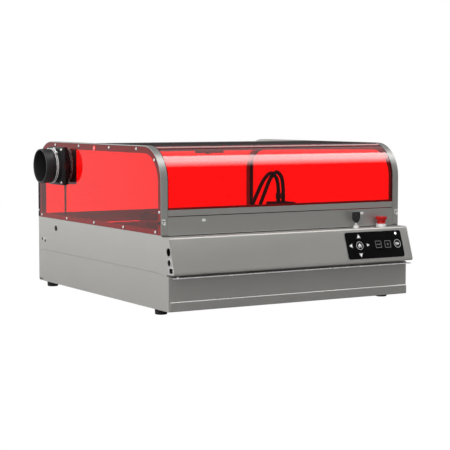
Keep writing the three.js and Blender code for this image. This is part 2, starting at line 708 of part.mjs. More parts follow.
function lidTopRail() {
  const lip = HEIGHT - ACRYLIC - GAP;
  const under = lip - 3.2;
  const flat = HINGE.z - 4;
  const cutAngle = THREE.MathUtils.radToDeg(Math.asin((HINGE.z - flat) / HINGE.nose));
  const profile = [
    [LID.windowEnd - 13, under],
    [316, under],
    [316, flat],
    ...arc(HINGE.y, HINGE.z, HINGE.nose, -cutAngle, 90, 10),
    [LID.windowEnd + GAP, HINGE.z + HINGE.nose],
    [LID.windowEnd + GAP, lip],
    [LID.windowEnd - 13, lip],
  ];
  const bore = circle(HINGE.y, HINGE.z, HINGE.bore);
  return mesh('lid_top_rail', alongX(profile, -LID.halfWidth, LID.halfWidth, [bore]), darkPaint);
}

const lid = () => group(lidWindow(), lidBottomRail(), lidTopRail());

// ---- Tray and bed ------------------------------------------------------------------------------
function drawerTray() {
  const lipHalf = HALF - SHEET;
  const lip = box(-lipHalf, lipHalf, -GAP - TRAY.lipDepth, -GAP, TRAY.lipBottom, TRAY.lipTop);
  const pan = sheet([
    [-TRAY.half, TRAY.wallTop], [-TRAY.half, TRAY.floor], [TRAY.half, TRAY.floor], [TRAY.half, TRAY.wallTop],
  ]);
  const floor = alongY(pan, -GAP - 1, TRAY.back);
  const end = box(-TRAY.half, TRAY.half, TRAY.back - SHEET, TRAY.back, TRAY.floor, TRAY.wallTop);
  return mesh('drawer_tray', join(lip, floor, end), darkPaint);
}

function workBed() {
  const { half, front, back, bottom, top, thick } = BED;
  const block = box(-half, half, front, back, bottom, top);
  const hollow = box(-half + thick, half - thick, front + thick, back - thick, 0, top - thick);
  return mesh('work_bed', cut(block, hollow), aluminium);
}

const tray = () => group(drawerTray(), workBed());

// ---- Console face: overlay, keys and board in a frame that lies on the slope ---------------------
// In this frame x is the machine's x, y runs up the slope from its top edge and z points out.
const FACE_TILT = Math.PI / 2 - SLOPE;

function onSlope(thing) {
  return thing.rotateX(FACE_TILT).translate(0, SLOPE_TOP.y, SLOPE_TOP.z);
}

function keyOutline(name, margin) {
  if (name in ROUND_KEYS) {
    const [x, y, radius] = ROUND_KEYS[name];
    return circle(x, y, radius + margin, 16);
  }
  const [x, y, half] = SQUARE_KEYS[name];
  const reach = half + margin;
  return roundedRectangle(x - reach, x + reach, y - reach, y + reach, 1.5, 2);
}

const KEY_NAMES = [...Object.keys(ROUND_KEYS), ...Object.keys(SQUARE_KEYS)];

function controlOverlay() {
  const { x0, x1, y0, y1, corner, thick } = OVERLAY;
  const plate = alongZ(roundedRectangle(x0, x1, y0, y1, corner), GAP, GAP + thick);
  const holes = KEY_NAMES.map((name) => alongZ(keyOutline(name, GAP), 0, 2 * thick));
  return mesh('control_overlay', cut(plate, ...holes), blackPlastic);
}

const padKey = (name) =>
  mesh(name, alongZ(keyOutline(name, 0), -0.5, GAP + OVERLAY.thick + 0.2), blackPlastic);

function mainBoard() {
  const circuit = box(-60, 264, -62, -9, -7.6, -6);
  const switches = KEY_NAMES.map((name) => {
    const [x, y] = ROUND_KEYS[name] ?? SQUARE_KEYS[name];
    return box(x - 3, x + 3, y - 3, y + 3, -6.2, -1.5);
  });
  const chips = [box(20, 44, -46, -22, -6.2, -4), box(-40, -22, -40, -22, -6.2, -2.5),
    box(70, 100, -54, -46, -6.2, -2.5)];
  return mesh('main_board', join(circuit, ...switches, ...chips), board);
}

function consoleFace() {
  const face = group(controlOverlay(), mainBoard(), ...KEY_NAMES.map(padKey));
  face.rotation.x = FACE_TILT;
  return placed(face, 0, SLOPE_TOP.y, SLOPE_TOP.z);
}

// ---- Console switches and sockets -----------------------------------------------------------------
function flatPortOutline(margin) {
  const [y, z, width, height] = FLAT_PORT;
  const w = width / 2 - margin;
  const h = height / 2 - margin;
  return roundedRectangle(y - w, y + w, z - h, z + h, 2);
}

function sidePorts() {
  const inner = (z) => SLOPE_TOP.y - (SLOPE_TOP.z - z) * Math.tan(SLOPE) + 2.4;
  const profile = [[22, 86.2], [22, 146], [inner(146), 146], [inner(86.2), 86.2]];
  const cheek = alongX(cheekOutline(), -HALF, -HALF + SHEET);
  const block = alongX(profile, -HALF + SHEET - GAP, -HALF + 21.8);
  const [bigY, bigZ, bigR] = BIG_PORT;
  const [smallY, smallZ, smallR] = SMALL_PORT;
  const mouths = [
    alongX(circle(bigY, bigZ, bigR - 2.3, 16), -HALF - 1, -HALF + 7),
    alongX(circle(smallY, smallZ, smallR - 3.2, 12), -HALF - 1, -HALF + 9),
    alongX(flatPortOutline(1.8), -HALF - 1, -HALF + 7),
  ];
  return mesh('side_ports', cut(join(cheek, block), ...mouths), paint);
}

function estop() {
  const collar = turned([
    [0, 128], [7.9, 128], [7.9, 155], [7.9, 156.3], [11, 156.3], [11, 160.2], [10.4, 161], [9.1, 161],
    [9.1, 156.8], [5.3, 156.8], [5.3, 133], [0, 133],
  ]);
  const head = turned([
    [0, 138], [5, 138], [5, 160.9], [8.75, 160.9], [8.75, 167], [12.3, 171.5], [12.5, 174],
    [11.6, 176.2], [0, 176.6],
  ]);
  return placed(group(mesh('estop_collar', collar, steel), mesh('estop_head', head, redPlastic)),
    ESTOP.x, ESTOP.y, 0);
}

function keySwitch() {
  const barrel = turned([
    [0, 136], [5, 136], [5, 156.3], [6, 156.3], [6, 159], [5.4, 159.6], [4.3, 159.6], [4.3, 139],
    [0, 139],
  ], 20);
  const plug = turned([[0, 139.4], [4, 139.4], [4, 159.9], [0, 159.9]], 20);
  const slot = box(-2.8, 2.8, -1.3, 1.3, 143, 161);
  const blade = box(-2.4, 2.4, -1, 1, 143.4, 167);
  const bow = alongY([
    [-3, 165.2], [3, 165.2], [8, 171.5], [9, 174], [9, 186], [8, 187.4], [-8, 187.4], [-9, 186],
    [-9, 174], [-8, 171.5],
  ], -2.2, 2.2);
  return placed(group(
    mesh('key_switch_barrel', barrel, steel),
    mesh('lock_core', cut(plug, slot), steel),
    mesh('safety_key', join(blade, bow), blackPlastic)), LOCK.x, LOCK.y, 0);
}

// ---- Whole machine --------------------------------------------------------------------------------
const machine = group(
  base(), enclosure(), exhaust(), yAxis(), gantry(), lid(), tray(),
  consoleFace(), sidePorts(), estop(), keySwitch());
machine.position.set(DUCT.reach / 2, -(DEPTH + SLOPE_FOOT.y) / 2, 0);

export default machine;
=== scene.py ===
import json
import math

import bmesh
import bpy
from mathutils import Matrix, Vector
from mathutils.geometry import tessellate_polygon


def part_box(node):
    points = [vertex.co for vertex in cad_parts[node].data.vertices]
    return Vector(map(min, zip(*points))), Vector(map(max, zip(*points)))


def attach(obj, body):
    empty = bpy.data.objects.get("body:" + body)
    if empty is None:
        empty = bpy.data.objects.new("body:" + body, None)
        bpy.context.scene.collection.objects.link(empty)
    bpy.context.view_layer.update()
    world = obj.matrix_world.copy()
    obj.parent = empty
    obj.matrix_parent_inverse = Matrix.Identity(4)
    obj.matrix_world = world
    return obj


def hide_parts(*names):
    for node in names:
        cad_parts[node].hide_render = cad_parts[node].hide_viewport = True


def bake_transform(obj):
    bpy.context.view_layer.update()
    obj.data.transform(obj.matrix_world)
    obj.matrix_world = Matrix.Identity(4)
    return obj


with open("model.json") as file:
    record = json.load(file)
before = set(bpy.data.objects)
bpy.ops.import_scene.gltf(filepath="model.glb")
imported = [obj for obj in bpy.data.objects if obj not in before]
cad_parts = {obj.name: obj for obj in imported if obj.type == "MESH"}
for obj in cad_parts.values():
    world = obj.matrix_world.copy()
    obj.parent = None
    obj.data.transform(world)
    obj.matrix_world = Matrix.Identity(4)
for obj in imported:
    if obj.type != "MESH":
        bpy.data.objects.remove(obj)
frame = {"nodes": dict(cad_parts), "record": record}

bpy.context.view_layer.update()

# ---- Dimensions ----
# Millimetres in the machine's own frame: x = 0 on the centre plane, y = 0 on the lower front
# panel, z = 0 on the table. Two CAD boxes give the shift to the row frame.
HALF = 284.5
DEPTH = 622.7
HEIGHT = 328.5
SHEET = 1.5
ACRYLIC = 3
LID_SKIN = 1.6
GAP = 0.3
BASE_TOP = 157
ARCH_FRONT = 29.4
ARCH_RADIUS = 70.8
ARCH_INNER = 270.1
LID_BOTTOM = 205.4
LID_END = 297
LID_HALF = 269.4
HINGE = (324.9, 318.5)
CROSSBAR_BACK = 352
REAR_TOP = 321.7
PLATE_FOOT, PLATE_TOP, PLATE_HALF = 156, 192.05, 268
DUCT = (512.7, 275.9)
SLOPE = math.radians(18.95)
SLOPE_TOP = (-1.3, 152)
ESTOP = (230, 15)
LOCK = (165, 15)
ESTOP_BORE, LOCK_BORE = 8.25, 5.4

SHIFT = Vector((
    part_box("side_window_right")[1].x * 1000 - HALF,
    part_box("arch_left")[0].y * 1000 - ARCH_FRONT,
    0,
))


def row(point):
    """A machine point in mm as a row-frame point in metres."""
    return (Vector(point) + SHIFT) / 1000


# ---- Materials ----
def new_tree(name):
    material = bpy.data.materials.new(name)
    material.use_nodes = True
    return material, material.node_tree


def fill(tree, node, inputs):
    """Links a socket, or sets a value, at each named input."""
    for key, value in inputs.items():
        if isinstance(value, bpy.types.NodeSocket):
            tree.links.new(value, node.inputs[key])
        else:
            node.inputs[key].default_value = value
    return node


def add_node(tree, kind, inputs=(), **settings):
    node = tree.nodes.new("ShaderNode" + kind)
    for key, value in settings.items():
        setattr(node, key, value)
    return fill(tree, node, dict(inputs))


def maths(tree, operation, one, two):
    return add_node(tree, "Math", {0: one, 1: two}, operation=operation).outputs[0]


def noise(tree, vector, scale, detail=3.0, roughness=0.55):
    found = add_node(tree, "TexNoise", {
        "Vector": vector, "Scale": scale, "Detail": detail, "Roughness": roughness})
    return found.outputs["Fac"]


def spread(tree, value, low, high, start=0.3, end=0.7):
    found = add_node(tree, "MapRange", {
        "Value": value, "From Min": start, "From Max": end, "To Min": low, "To Max": high})
    return found.outputs["Result"]


def blend_colour(tree, factor, low, high):
    low, high = (c if isinstance(c, bpy.types.NodeSocket) else (*c, 1) for c in (low, high))
    return add_node(tree, "Mix", {"Factor": factor, 6: low, 7: high}, data_type="RGBA").outputs[2]


def coordinates(tree, stretch=(1, 1, 1)):
    source = add_node(tree, "TexCoord").outputs["Object"]
    return add_node(tree, "Mapping", {"Vector": source, "Scale": stretch}).outputs["Vector"]


# Shared by the finishes: gloss of a clear coat, and how strongly acrylic bends light.
COAT_ROUGHNESS, ACRYLIC_IOR = 0.08, 1.49


def surface(name, colour, roughness, metallic=0.0, vary=0.06, broad=9.0, grain=1300.0,
            depth=0.00003, rough_vary=0.06, stretch=(1, 1, 1), coat=0.0, speck=0.0,
            emission=0.0, specular=0.5):
    """A painted, moulded or metal finish: broad colour drift, specks, grain bump, uneven gloss."""
    colour = colour if isinstance(colour, tuple) else (colour,) * 3
    material, tree = new_tree(name)
    shader = tree.nodes["Principled BSDF"]
    place = coordinates(tree, stretch)
    drift = spread(tree, noise(tree, place, broad), 0, 1)
    fine = noise(tree, place, grain, 2.0)
    low = tuple(c * (1 - vary) for c in colour)
    high = tuple(min(1, c * (1 + vary)) for c in colour)
    base = blend_colour(tree, drift, low, high)
    if speck:
        dots = spread(tree, noise(tree, place, grain * 0.6, 1.0), 0, speck, 0.62, 0.72)
        base = blend_colour(tree, dots, base, tuple(min(1, c * 1.6 + 0.02) for c in colour))
    gloss = spread(tree, noise(tree, place, broad * 5), roughness - rough_vary, roughness + rough_vary)
    bump = add_node(tree, "Bump", {"Height": fine, "Strength": 0.5, "Distance": depth})
    fill(tree, shader, {
        "Base Color": base, "Roughness": gloss, "Normal": bump.outputs["Normal"],
        "Metallic": metallic, "Coat Weight": coat, "Coat Roughness": COAT_ROUGHNESS,
        "Specular IOR Level": specular,
    })
    # Emission makes a finish glow: on the lamp lens this is the lamp's own light, on the other finishes it
    # is painted glow.
    if emission:
        fill(tree, shader, {"Emission Color": (*colour, 1), "Emission Strength": emission})
    return material


def clear_red(name, tint):
    """Tinted acrylic sheet, with faint haze in its colour and polish."""
    material, tree = new_tree(name)
    shader = tree.nodes["Principled BSDF"]
    place = coordinates(tree)
    haze = spread(tree, noise(tree, place, 30), 0, 1)
    colour = blend_colour(tree, haze, tint, tuple(c * 0.985 for c in tint))
    scuff = spread(tree, noise(tree, coordinates(tree, (1, 1, 9)), 160, 5.0), 0.0, 0.003)
    fill(tree, shader, {"Base Color": colour, "Roughness": scuff, "Transmission Weight": 1.0,
                        "IOR": ACRYLIC_IOR})
    return material


def painted_glow_print(name, centre, edge, reach):
    """Printed key symbol with a painted glow: it emits light, bright in the middle and fading to grey at
    its edges.
    """
    material, tree = new_tree(name)
    shader = tree.nodes["Principled BSDF"]
    place = add_node(tree, "TexCoord").outputs["Object"]
    distance = add_node(tree, "VectorMath", {0: place}, operation="LENGTH").outputs["Value"]
    grain = noise(tree, place, 2500, 2.0)
    faded = spread(tree, distance, 0, 1, 0, reach)
    mixed = add_node(tree, "Math", {0: faded, 1: spread(tree, grain, -0.08, 0.08)}, operation="ADD")
    mixed.use_clamp = True
    colour = blend_colour(tree, mixed.outputs[0], centre, edge)
    # The emission and the fade from the middle are painted glow.
    fill(tree, shader, {"Base Color": colour, "Emission Color": colour, "Emission Strength": 0.25,
                        "Roughness": spread(tree, grain, 0.3, 0.45)})
    return material


def braided(name, colour):
    """Woven sleeve of a hose: two crossed waves in height and gloss, and painted shade that darkens the
    low parts of the weave.
    """
    material, tree = new_tree(name)
    shader = tree.nodes["Principled BSDF"]
    place = coordinates(tree)
    crossed = add_node(tree, "Mapping", {"Vector": place, "Rotation": (0, math.radians(90), 0)})
    waves = [add_node(tree, "TexWave", {"Vector": way, "Scale": 260, "Distortion": 0.6, "Detail": 1.0},
                      bands_direction="DIAGONAL").outputs["Fac"]
             for way in (place, crossed.outputs[0])]
    woven = maths(tree, "MULTIPLY", *waves)
    bump = add_node(tree, "Bump", {"Height": woven, "Strength": 0.6, "Distance": 0.0002})
    fill(tree, shader, {
        # Colour follows the weave's height: the low parts are darker, as painted shade.
        "Base Color": blend_colour(tree, woven, tuple(c * 0.6 for c in colour), colour),
        "Roughness": spread(tree, woven, 0.55, 0.4, 0, 1), "Normal": bump.outputs["Normal"],
    })
    return material


PAINT = surface("satin_paint", (0.585, 0.58, 0.552), 0.38, 0.6, vary=0.012, grain=1500, speck=0.05,
                rough_vary=0.02, depth=0.00002)
# Darker copy of the same satin paint: painted shade for the lower front panel and the tray, which get less
# light.
SHADED_PAINT = surface("satin_paint_painted_shade", (0.47, 0.466, 0.446), 0.38, 0.6, vary=0.012, grain=1500,
                     speck=0.05, rough_vary=0.02, depth=0.00002)
RED_SHEET = clear_red("red_acrylic", (1.0, 0.02, 0.02))
BLACK = surface("black_moulded", (0.022, 0.022, 0.024), 0.42, vary=0.25, grain=900, depth=0.00005)
BLACK_SATIN = surface("black_anodised_satin", (0.03, 0.03, 0.032), 0.38, 0.6, vary=0.15,
                      grain=1100, stretch=(1, 6, 1))
OVERLAY = surface("black_membrane", (0.006, 0.006, 0.0065), 0.45, vary=0.2, grain=2200,
                  depth=0.00001, specular=0.03)
RUBBER = surface("black_rubber", 0.018, 0.72, vary=0.3, grain=700, depth=0.00008)
STEEL = surface("bright_steel", (0.66, 0.66, 0.67), 0.24, 1.0, vary=0.06, grain=400,
                stretch=(1, 1, 14), depth=0.00001)
ZINC = surface("zinc_screws", (0.82, 0.82, 0.83), 0.2, 1.0, vary=0.05, grain=900, depth=0.00001)
ALUMINIUM = surface("satin_aluminium", (0.52, 0.52, 0.53), 0.34, 1.0, vary=0.06, grain=500,
                    stretch=(1, 12, 1), depth=0.00001)
RED_PLASTIC = surface("red_moulded", (0.60, 0.002, 0.001), 0.16, specular=0.2, vary=0.08, grain=600,
                      coat=0.5, depth=0.00002)
# Bright red that glows: painted glow on the hinge bushings, standing for light seen through the red
# acrylic.
RED_PAINTED_GLOW = surface("red_painted_glow", (0.95, 0.003, 0.002), 0.3, vary=0.04, grain=600, coat=0.6,
                    emission=0.15)
BOARD = surface("green_board", (0.02, 0.16, 0.06), 0.4, vary=0.2, broad=200, grain=900)
# White print that also glows a little: painted glow on the key symbols.
WHITE_PRINT_GLOW = surface("white_print_painted_glow", 0.80, 0.4, vary=0.05, grain=2500, emission=0.15)
GREY_PRINT = surface("grey_print", (0.38, 0.38, 0.385), 0.4, vary=0.1, grain=2500)
LAMP = surface("lamp_lens", 1.0, 0.15, vary=0.01, coat=1.0, emission=1.0)
WHITE_CAP = surface("white_cap", (0.92, 0.92, 0.90), 0.3, vary=0.02, grain=900, coat=0.4)
# Near-white finish that glows a little: a painted highlight, used on the tray lip strip and the arch lugs.
PAINTED_HIGHLIGHT = surface("painted_highlight_white", (0.92, 0.92, 0.90), 0.3, 0.2, vary=0.03, grain=700, emission=0.22)
NICKEL = surface("bright_nickel", (0.93, 0.93, 0.92), 0.26, 0.35, vary=0.03, grain=700, depth=0.00001)
# Near-black strip colour: painted shade in the slit between the ledge and the plate.
LEDGE_SHADE = surface("ledge_painted_shade", 0.05, 0.75, vary=0.2, grain=700, depth=0.00004)
# Near-black with almost no reflection: painted shade in the socket well, the keyhole, the screw's shadow
# and the thin lines along the top edges.
PAINTED_SHADE = surface("painted_shade_black", 0.006, 0.7, vary=0.3, grain=600, specular=0.02)
HOSE = braided("braided_hose", (0.016, 0.016, 0.017))
ARROW_GLOW = painted_glow_print("arrow_print_painted_glow", (0.95, 0.95, 0.95), (0.20, 0.20, 0.20), 0.0062)

# The finishes that go in each slot. CAD nodes get the first one.
FINISHES = {
    "paint_light": (PAINT,), "paint_dark": (SHADED_PAINT,), "acrylic_red": (RED_SHEET,),
    "black_plastic": (BLACK, PAINTED_SHADE), "black_anodised": (BLACK_SATIN,),
    "overlay_black": (OVERLAY, ARROW_GLOW, WHITE_PRINT_GLOW, GREY_PRINT, LAMP),
    "rubber": (RUBBER, HOSE, LEDGE_SHADE), "aluminium": (ALUMINIUM,),
    "steel": (STEEL, ZINC, NICKEL, PAINTED_HIGHLIGHT, WHITE_CAP),
    "red_plastic": (RED_PLASTIC, RED_PAINTED_GLOW), "board_green": (BOARD,),
}

# ---- CAD nodes: finish and softened edges ----
FACET_ANGLE = math.radians(32)
WELD_DISTANCE = 1e-6
NODE_BEVEL = 0.35


def smoothing_group():
    """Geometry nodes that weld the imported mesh, shade it smooth and keep its corners sharp."""
    tree = bpy.data.node_groups.new("soften", "GeometryNodeTree")
    tree.interface.new_socket("Geometry", in_out="INPUT", socket_type="NodeSocketGeometry")
    tree.interface.new_socket("Geometry", in_out="OUTPUT", socket_type="NodeSocketGeometry")
    start, drop, weld, smooth, crease, end, angle, compare = (tree.nodes.new(kind) for kind in (
        "NodeGroupInput", "GeometryNodeRemoveAttribute", "GeometryNodeMergeByDistance",
        "GeometryNodeSetShadeSmooth", "GeometryNodeSetShadeSmooth", "NodeGroupOutput",
        "GeometryNodeInputMeshEdgeAngle", "FunctionNodeCompare"))
    drop.inputs["Name"].default_value = "custom_normal"
    weld.inputs["Distance"].default_value = WELD_DISTANCE
    crease.domain = "EDGE"
    crease.inputs["Shade Smooth"].default_value = False
    compare.operation = "GREATER_THAN"
    compare.inputs["B"].default_value = FACET_ANGLE
    chain = (start, drop, weld, smooth, crease)
    for before, after in zip(chain, chain[1:]):
        tree.links.new(before.outputs[0], after.inputs["Geometry"])
    tree.links.new(angle.outputs["Unsigned Angle"], compare.inputs["A"])
    tree.links.new(compare.outputs[0], crease.inputs["Selection"])
    tree.links.new(crease.outputs[0], end.inputs[0])
    return tree


def add_bevel(thing, width, segments=2):
    bevel = thing.modifiers.new("edges", "BEVEL")
    bevel.width = width / 1000
    bevel.segments = segments
    bevel.limit_method = "ANGLE"
    bevel.angle_limit = FACET_ANGLE
    bevel.harden_normals = True
    bevel.use_clamp_overlap = True
    bevel.miter_outer = "MITER_ARC"


SOFTEN = smoothing_group()
NODE_MATERIAL = {"estop_collar": NICKEL, "key_switch_barrel": NICKEL, "lock_core": NICKEL}
NO_BEVEL = {"main_board", "hose_air", "hose_power", "fan_cable", "y_belt_left", "y_belt_right"}
for part in frame["record"]["subparts"]:
    thing = frame["nodes"][part["node"]]
    finish = NODE_MATERIAL.get(part["node"], FINISHES[part["material_slot"]][0])
    for index in range(max(1, len(thing.material_slots))):
        thing.material_slots[index].material = finish
    soften = thing.modifiers.new("soften", "NODES")
    soften.node_group = SOFTEN
    if part["node"] not in NO_BEVEL:
        add_bevel(thing, NODE_BEVEL)


# ---- Outlines and solids, in mm ----
def arc(cu, cv, radius, start, end, steps):
    turns = (math.radians(start + (end - start) * i / steps) for i in range(steps + 1))
    return [(cu + radius * math.cos(t), cv + radius * math.sin(t)) for t in turns]


def circle(cu, cv, radius, sides=32):
    return arc(cu, cv, radius, 0, 360, sides)[:-1]


def rounded(u0, u1, v0, v1, radius, steps=6):
    return [
        *arc(u1 - radius, v0 + radius, radius, -90, 0, steps),
        *arc(u1 - radius, v1 - radius, radius, 0, 90, steps),
        *arc(u0 + radius, v1 - radius, radius, 90, 180, steps),
        *arc(u0 + radius, v0 + radius, radius, 180, 270, steps),
    ]


def rectangle(u0, u1, v0, v1):
    return [(u0, v0), (u1, v0), (u1, v1), (u0, v1)]


def bent(line, thickness, radii, steps=7):
    """Closed outline of a folded sheet: the line is one face, and the other lies to its left."""
    points = [Vector(p) for p in line]
    one, other = [], []

    def left(way):
        return Vector((-way.y, way.x))

    for i, point in enumerate(points):
        if i in (0, len(points) - 1):
            way = (points[max(i, 1)] - points[max(i, 1) - 1]).normalized()
            one.append(point)
            other.append(point + left(way) * thickness)
            continue
        before = (point - points[i - 1]).normalized()
        after = (points[i + 1] - point).normalized()
        turn = math.atan2(before.cross(after), before.dot(after))
        side = 1 if turn > 0 else -1
        inner = radii[i - 1]
        near, far = (inner + thickness, inner) if turn > 0 else (inner, inner + thickness)
        start = point - before * near * math.tan(abs(turn) / 2)
        centre = start + left(before) * near * side
        for k in range(steps + 1):
            spoke = Matrix.Rotation(turn * k / steps, 2) @ (left(before) * -side)
            one.append(centre + spoke * near)
            other.append(centre + spoke * far)
    return [tuple(p) for p in one + other[::-1]]


AXES = {
    "x": lambda u, v, d: (d, u, v),
    "y": lambda u, v, d: (u, d, v),
    "z": lambda u, v, d: (u, v, d),
}


def prism(outer, a, b, axis="x", holes=()):
    """Closed solid: an outline, with holes if any, from a to b along the axis."""
    loops = [list(outer), *(list(hole) for hole in holes)]
    put = AXES[axis]
    flat = [point for loop in loops for point in loop]
    count = len(flat)
    verts = [put(u, v, a) for u, v in flat] + [put(u, v, b) for u, v in flat]
    if holes:
        caps = tessellate_polygon([[Vector((u, v, 0)) for u, v in loop] for loop in loops])
    else:
        caps = [tuple(range(count))]
    faces = [list(cap) for cap in caps] + [[i + count for i in reversed(cap)] for cap in caps]
    start = 0
    for loop in loops:
        size = len(loop)
        for i in range(size):
            j = (i + 1) % size
            faces.append([start + i, start + j, start + j + count, start + i + count])
        start += size
    return verts, faces


def block(x0, x1, y0, y1, z0, z1):
    return prism(rectangle(x0, x1, y0, y1), z0, z1, "z")


def turned(profile, sides=32, ring=False, wave=None):
    """Profile of (radius, height) turned about Z; ring joins its last point to its first."""
    verts, rows, faces = [], [], []
    for radius, height in profile:
        if radius < 1e-6:
            rows.append([len(verts)])
            verts.append((0, 0, height))
            continue
        rows.append(list(range(len(verts), len(verts) + sides)))
        for i in range(sides):
            turn = 2 * math.pi * i / sides
            reach = radius * (wave(turn, height) if wave else 1)
            verts.append((reach * math.cos(turn), reach * math.sin(turn), height))
    pairs = list(zip(rows, rows[1:]))
    if ring:
        pairs.append((rows[-1], rows[0]))
    for low, high in pairs:
        for i in range(sides):
            j = (i + 1) % sides
            quad = [low[i % len(low)], low[j % len(low)], high[j % len(high)], high[i % len(high)]]
            quad = list(dict.fromkeys(quad))
            if len(quad) > 2:
                faces.append(quad)
    return verts, faces


def spline(points, per_span=8):
    """Centripetal Catmull-Rom line through the points, as the CAD tubes follow."""
    known = [Vector(p) for p in points]
    known = [known[0] * 2 - known[1], *known, known[-1] * 2 - known[-2]]
    line = []
    for a, b, c, d in zip(known, known[1:], known[2:], known[3:]):
        t1 = (b - a).length ** 0.5
        t2 = t1 + (c - b).length ** 0.5
        t3 = t2 + (d - c).length ** 0.5
        for i in range(per_span):
            t = t1 + (t2 - t1) * i / per_span
            a1, a2 = a.lerp(b, t / t1), b.lerp(c, (t - t1) / (t2 - t1))
            a3 = c.lerp(d, (t - t2) / (t3 - t2))
            b1, b2 = a1.lerp(a2, t / t2), a2.lerp(a3, (t - t1) / (t3 - t1))
            line.append(b1.lerp(b2, (t - t1) / (t2 - t1)))
    return [*line, known[-2]]


def frames(line):
    """Two cross directions at each point of a line, carried along without twist."""
    result = []
    side = None
    for i, point in enumerate(line):
        ahead = (line[min(i + 1, len(line) - 1)] - line[max(i - 1, 0)]).normalized()
        if side is None:
            side = ahead.orthogonal().normalized()
        side = (side - ahead * side.dot(ahead)).normalized()
        result.append((side, ahead.cross(side)))
    return result


def tube(line, radius, sides=14):
    """Round tube along a line."""
    verts, faces = [], []
    for point, (side, up) in zip(line, frames(line)):
        for k in range(sides):
            turn = 2 * math.pi * k / sides
            verts.append(tuple(point + side * (radius * math.cos(turn)) + up * (radius * math.sin(turn))))
    for i in range(len(line) - 1):
        for k in range(sides):
            n = (k + 1) % sides
            faces.append([i * sides + k, i * sides + n, (i + 1) * sides + n, (i + 1) * sides + k])
    last = (len(line) - 1) * sides
    faces += [list(range(sides))[::-1], list(range(last, last + sides))]
    return verts, faces


def toward(at, direction, spin=0.0):
    """Matrix that puts a shape's Z along a direction, at a machine point."""
    turn = Vector(direction).to_track_quat("Z", "Y").to_matrix().to_4x4()
    return Matrix.Translation(at) @ turn @ Matrix.Rotation(spin, 4, "Z")


class Shape:
    """Vertices and faces gathered for one piece."""

    def __init__(self):
        self.verts, self.faces = [], []

    def add(self, made, matrix=None):
        verts, faces = made
        base = len(self.verts)
        self.verts += [matrix @ Vector(v) if matrix else Vector(v) for v in verts]
        self.faces += [[base + i for i in face] for face in faces]
        return self


def shape(*parts):
    whole = Shape()
    for part in parts:
        whole.add(part)
    return whole


def moved(made, x, y, z=0):
    return Shape().add(made, Matrix.Translation((x, y, z)))


def outward(side, y, z, proud=0):
    """Matrix that puts a shape's Z out of a side sheet, at its face or proud of it."""
    return toward((side * (HALF + proud), y, z), (side, 0, 0))


def linked(name, data):
    thing = bpy.data.objects.new(name, data)
    bpy.context.scene.collection.objects.link(thing)
    return thing


def edit(mesh, work):
    made = bmesh.new()
    made.from_mesh(mesh)
    work(made)
    made.to_mesh(mesh)
    made.free()


def mesh_of(name, whole, origin):
    mesh = bpy.data.meshes.new(name)
    mesh.from_pydata([row(v) - origin for v in whole.verts], [], whole.faces)
    edit(mesh, lambda made: bmesh.ops.recalc_face_normals(made, faces=made.faces))
    return mesh


def shade(made):
    """Smooth faces, with the edges between facets kept sharp."""
    for face in made.faces:
        face.smooth = True
    for edge in made.edges:
        if len(edge.link_faces) == 2 and edge.calc_face_angle() > FACET_ANGLE:
            edge.smooth = False


def carved(name, mesh, cuts, origin):
    """The mesh with each cutting shape taken out of it."""
    base = linked("carve_base", mesh)
    tools = []
    for cut in cuts:
        tool = linked("carve_tool", mesh_of("carve_tool", cut, origin))
        modifier = base.modifiers.new("carve", "BOOLEAN")
        modifier.object = tool
        modifier.solver = "EXACT"
        tools.append(tool)
    shown = base.evaluated_get(bpy.context.evaluated_depsgraph_get())
    result = bpy.data.meshes.new_from_object(shown)
    result.name = name
    for thing in (base, *tools):
        bpy.data.objects.remove(thing)
    return result


def piece(name, whole, material, body="housing", bevel=0.0, segments=2, centre=None,
          swaps=(), cuts=()):
    """Makes a Blender object from a shape, rides it on a body and hides the CAD parts it takes the place
    of.
    """
    whole = shape(whole) if isinstance(whole, tuple) else whole
    origin = row(centre) if centre else Vector((0, 0, 0))
    mesh = mesh_of(name, whole, origin)
    if cuts:
        mesh = carved(name, mesh, cuts, origin)
    edit(mesh, shade)
    mesh.materials.append(material)
    thing = linked(name, mesh)
    thing.location = origin
    if bevel:
        add_bevel(thing, bevel, segments)
    if body:
        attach(thing, body)
    if swaps:
        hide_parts(*swaps)
    return thing


# ---- Windows ----
CORNER_STEPS = 36


def front_corner(inset):
    return arc(ARCH_FRONT + ARCH_RADIUS, HEIGHT - ARCH_RADIUS, ARCH_RADIUS - inset, 180, 90,
               CORNER_STEPS)


def rear_corner(inset):
    return arc(DEPTH - ARCH_RADIUS, HEIGHT - ARCH_RADIUS, ARCH_RADIUS - inset, 90, 0, CORNER_STEPS)


def side_window(side):
    inset = SHEET + GAP
    bottom = BASE_TOP + GAP
    outline = [(ARCH_FRONT + inset, bottom), *front_corner(inset), *rear_corner(inset),
               (DEPTH - inset, bottom)]
    holes = [circle(*HINGE, 5.5)]
    if side < 0:
        holes.append(circle(*DUCT, 39.5, 64))
    name = "left" if side < 0 else "right"
    pane = prism(outline, side * (HALF - ACRYLIC), side * HALF, "x", holes)
    piece(f"pane_{name}", pane, RED_SHEET, swaps=[f"side_window_{name}"])


def lid_pane():
    outline = [
        (ARCH_FRONT, LID_BOTTOM), *front_corner(0), (LID_END, HEIGHT),
        (LID_END, HEIGHT - LID_SKIN), *reversed(front_corner(LID_SKIN)),
        (ARCH_FRONT + LID_SKIN, LID_BOTTOM),
    ]
    pane = prism(outline, -LID_HALF, LID_HALF)
    piece("pane_lid", pane, RED_SHEET, "lid", bevel=0.25, swaps=["lid_window"])


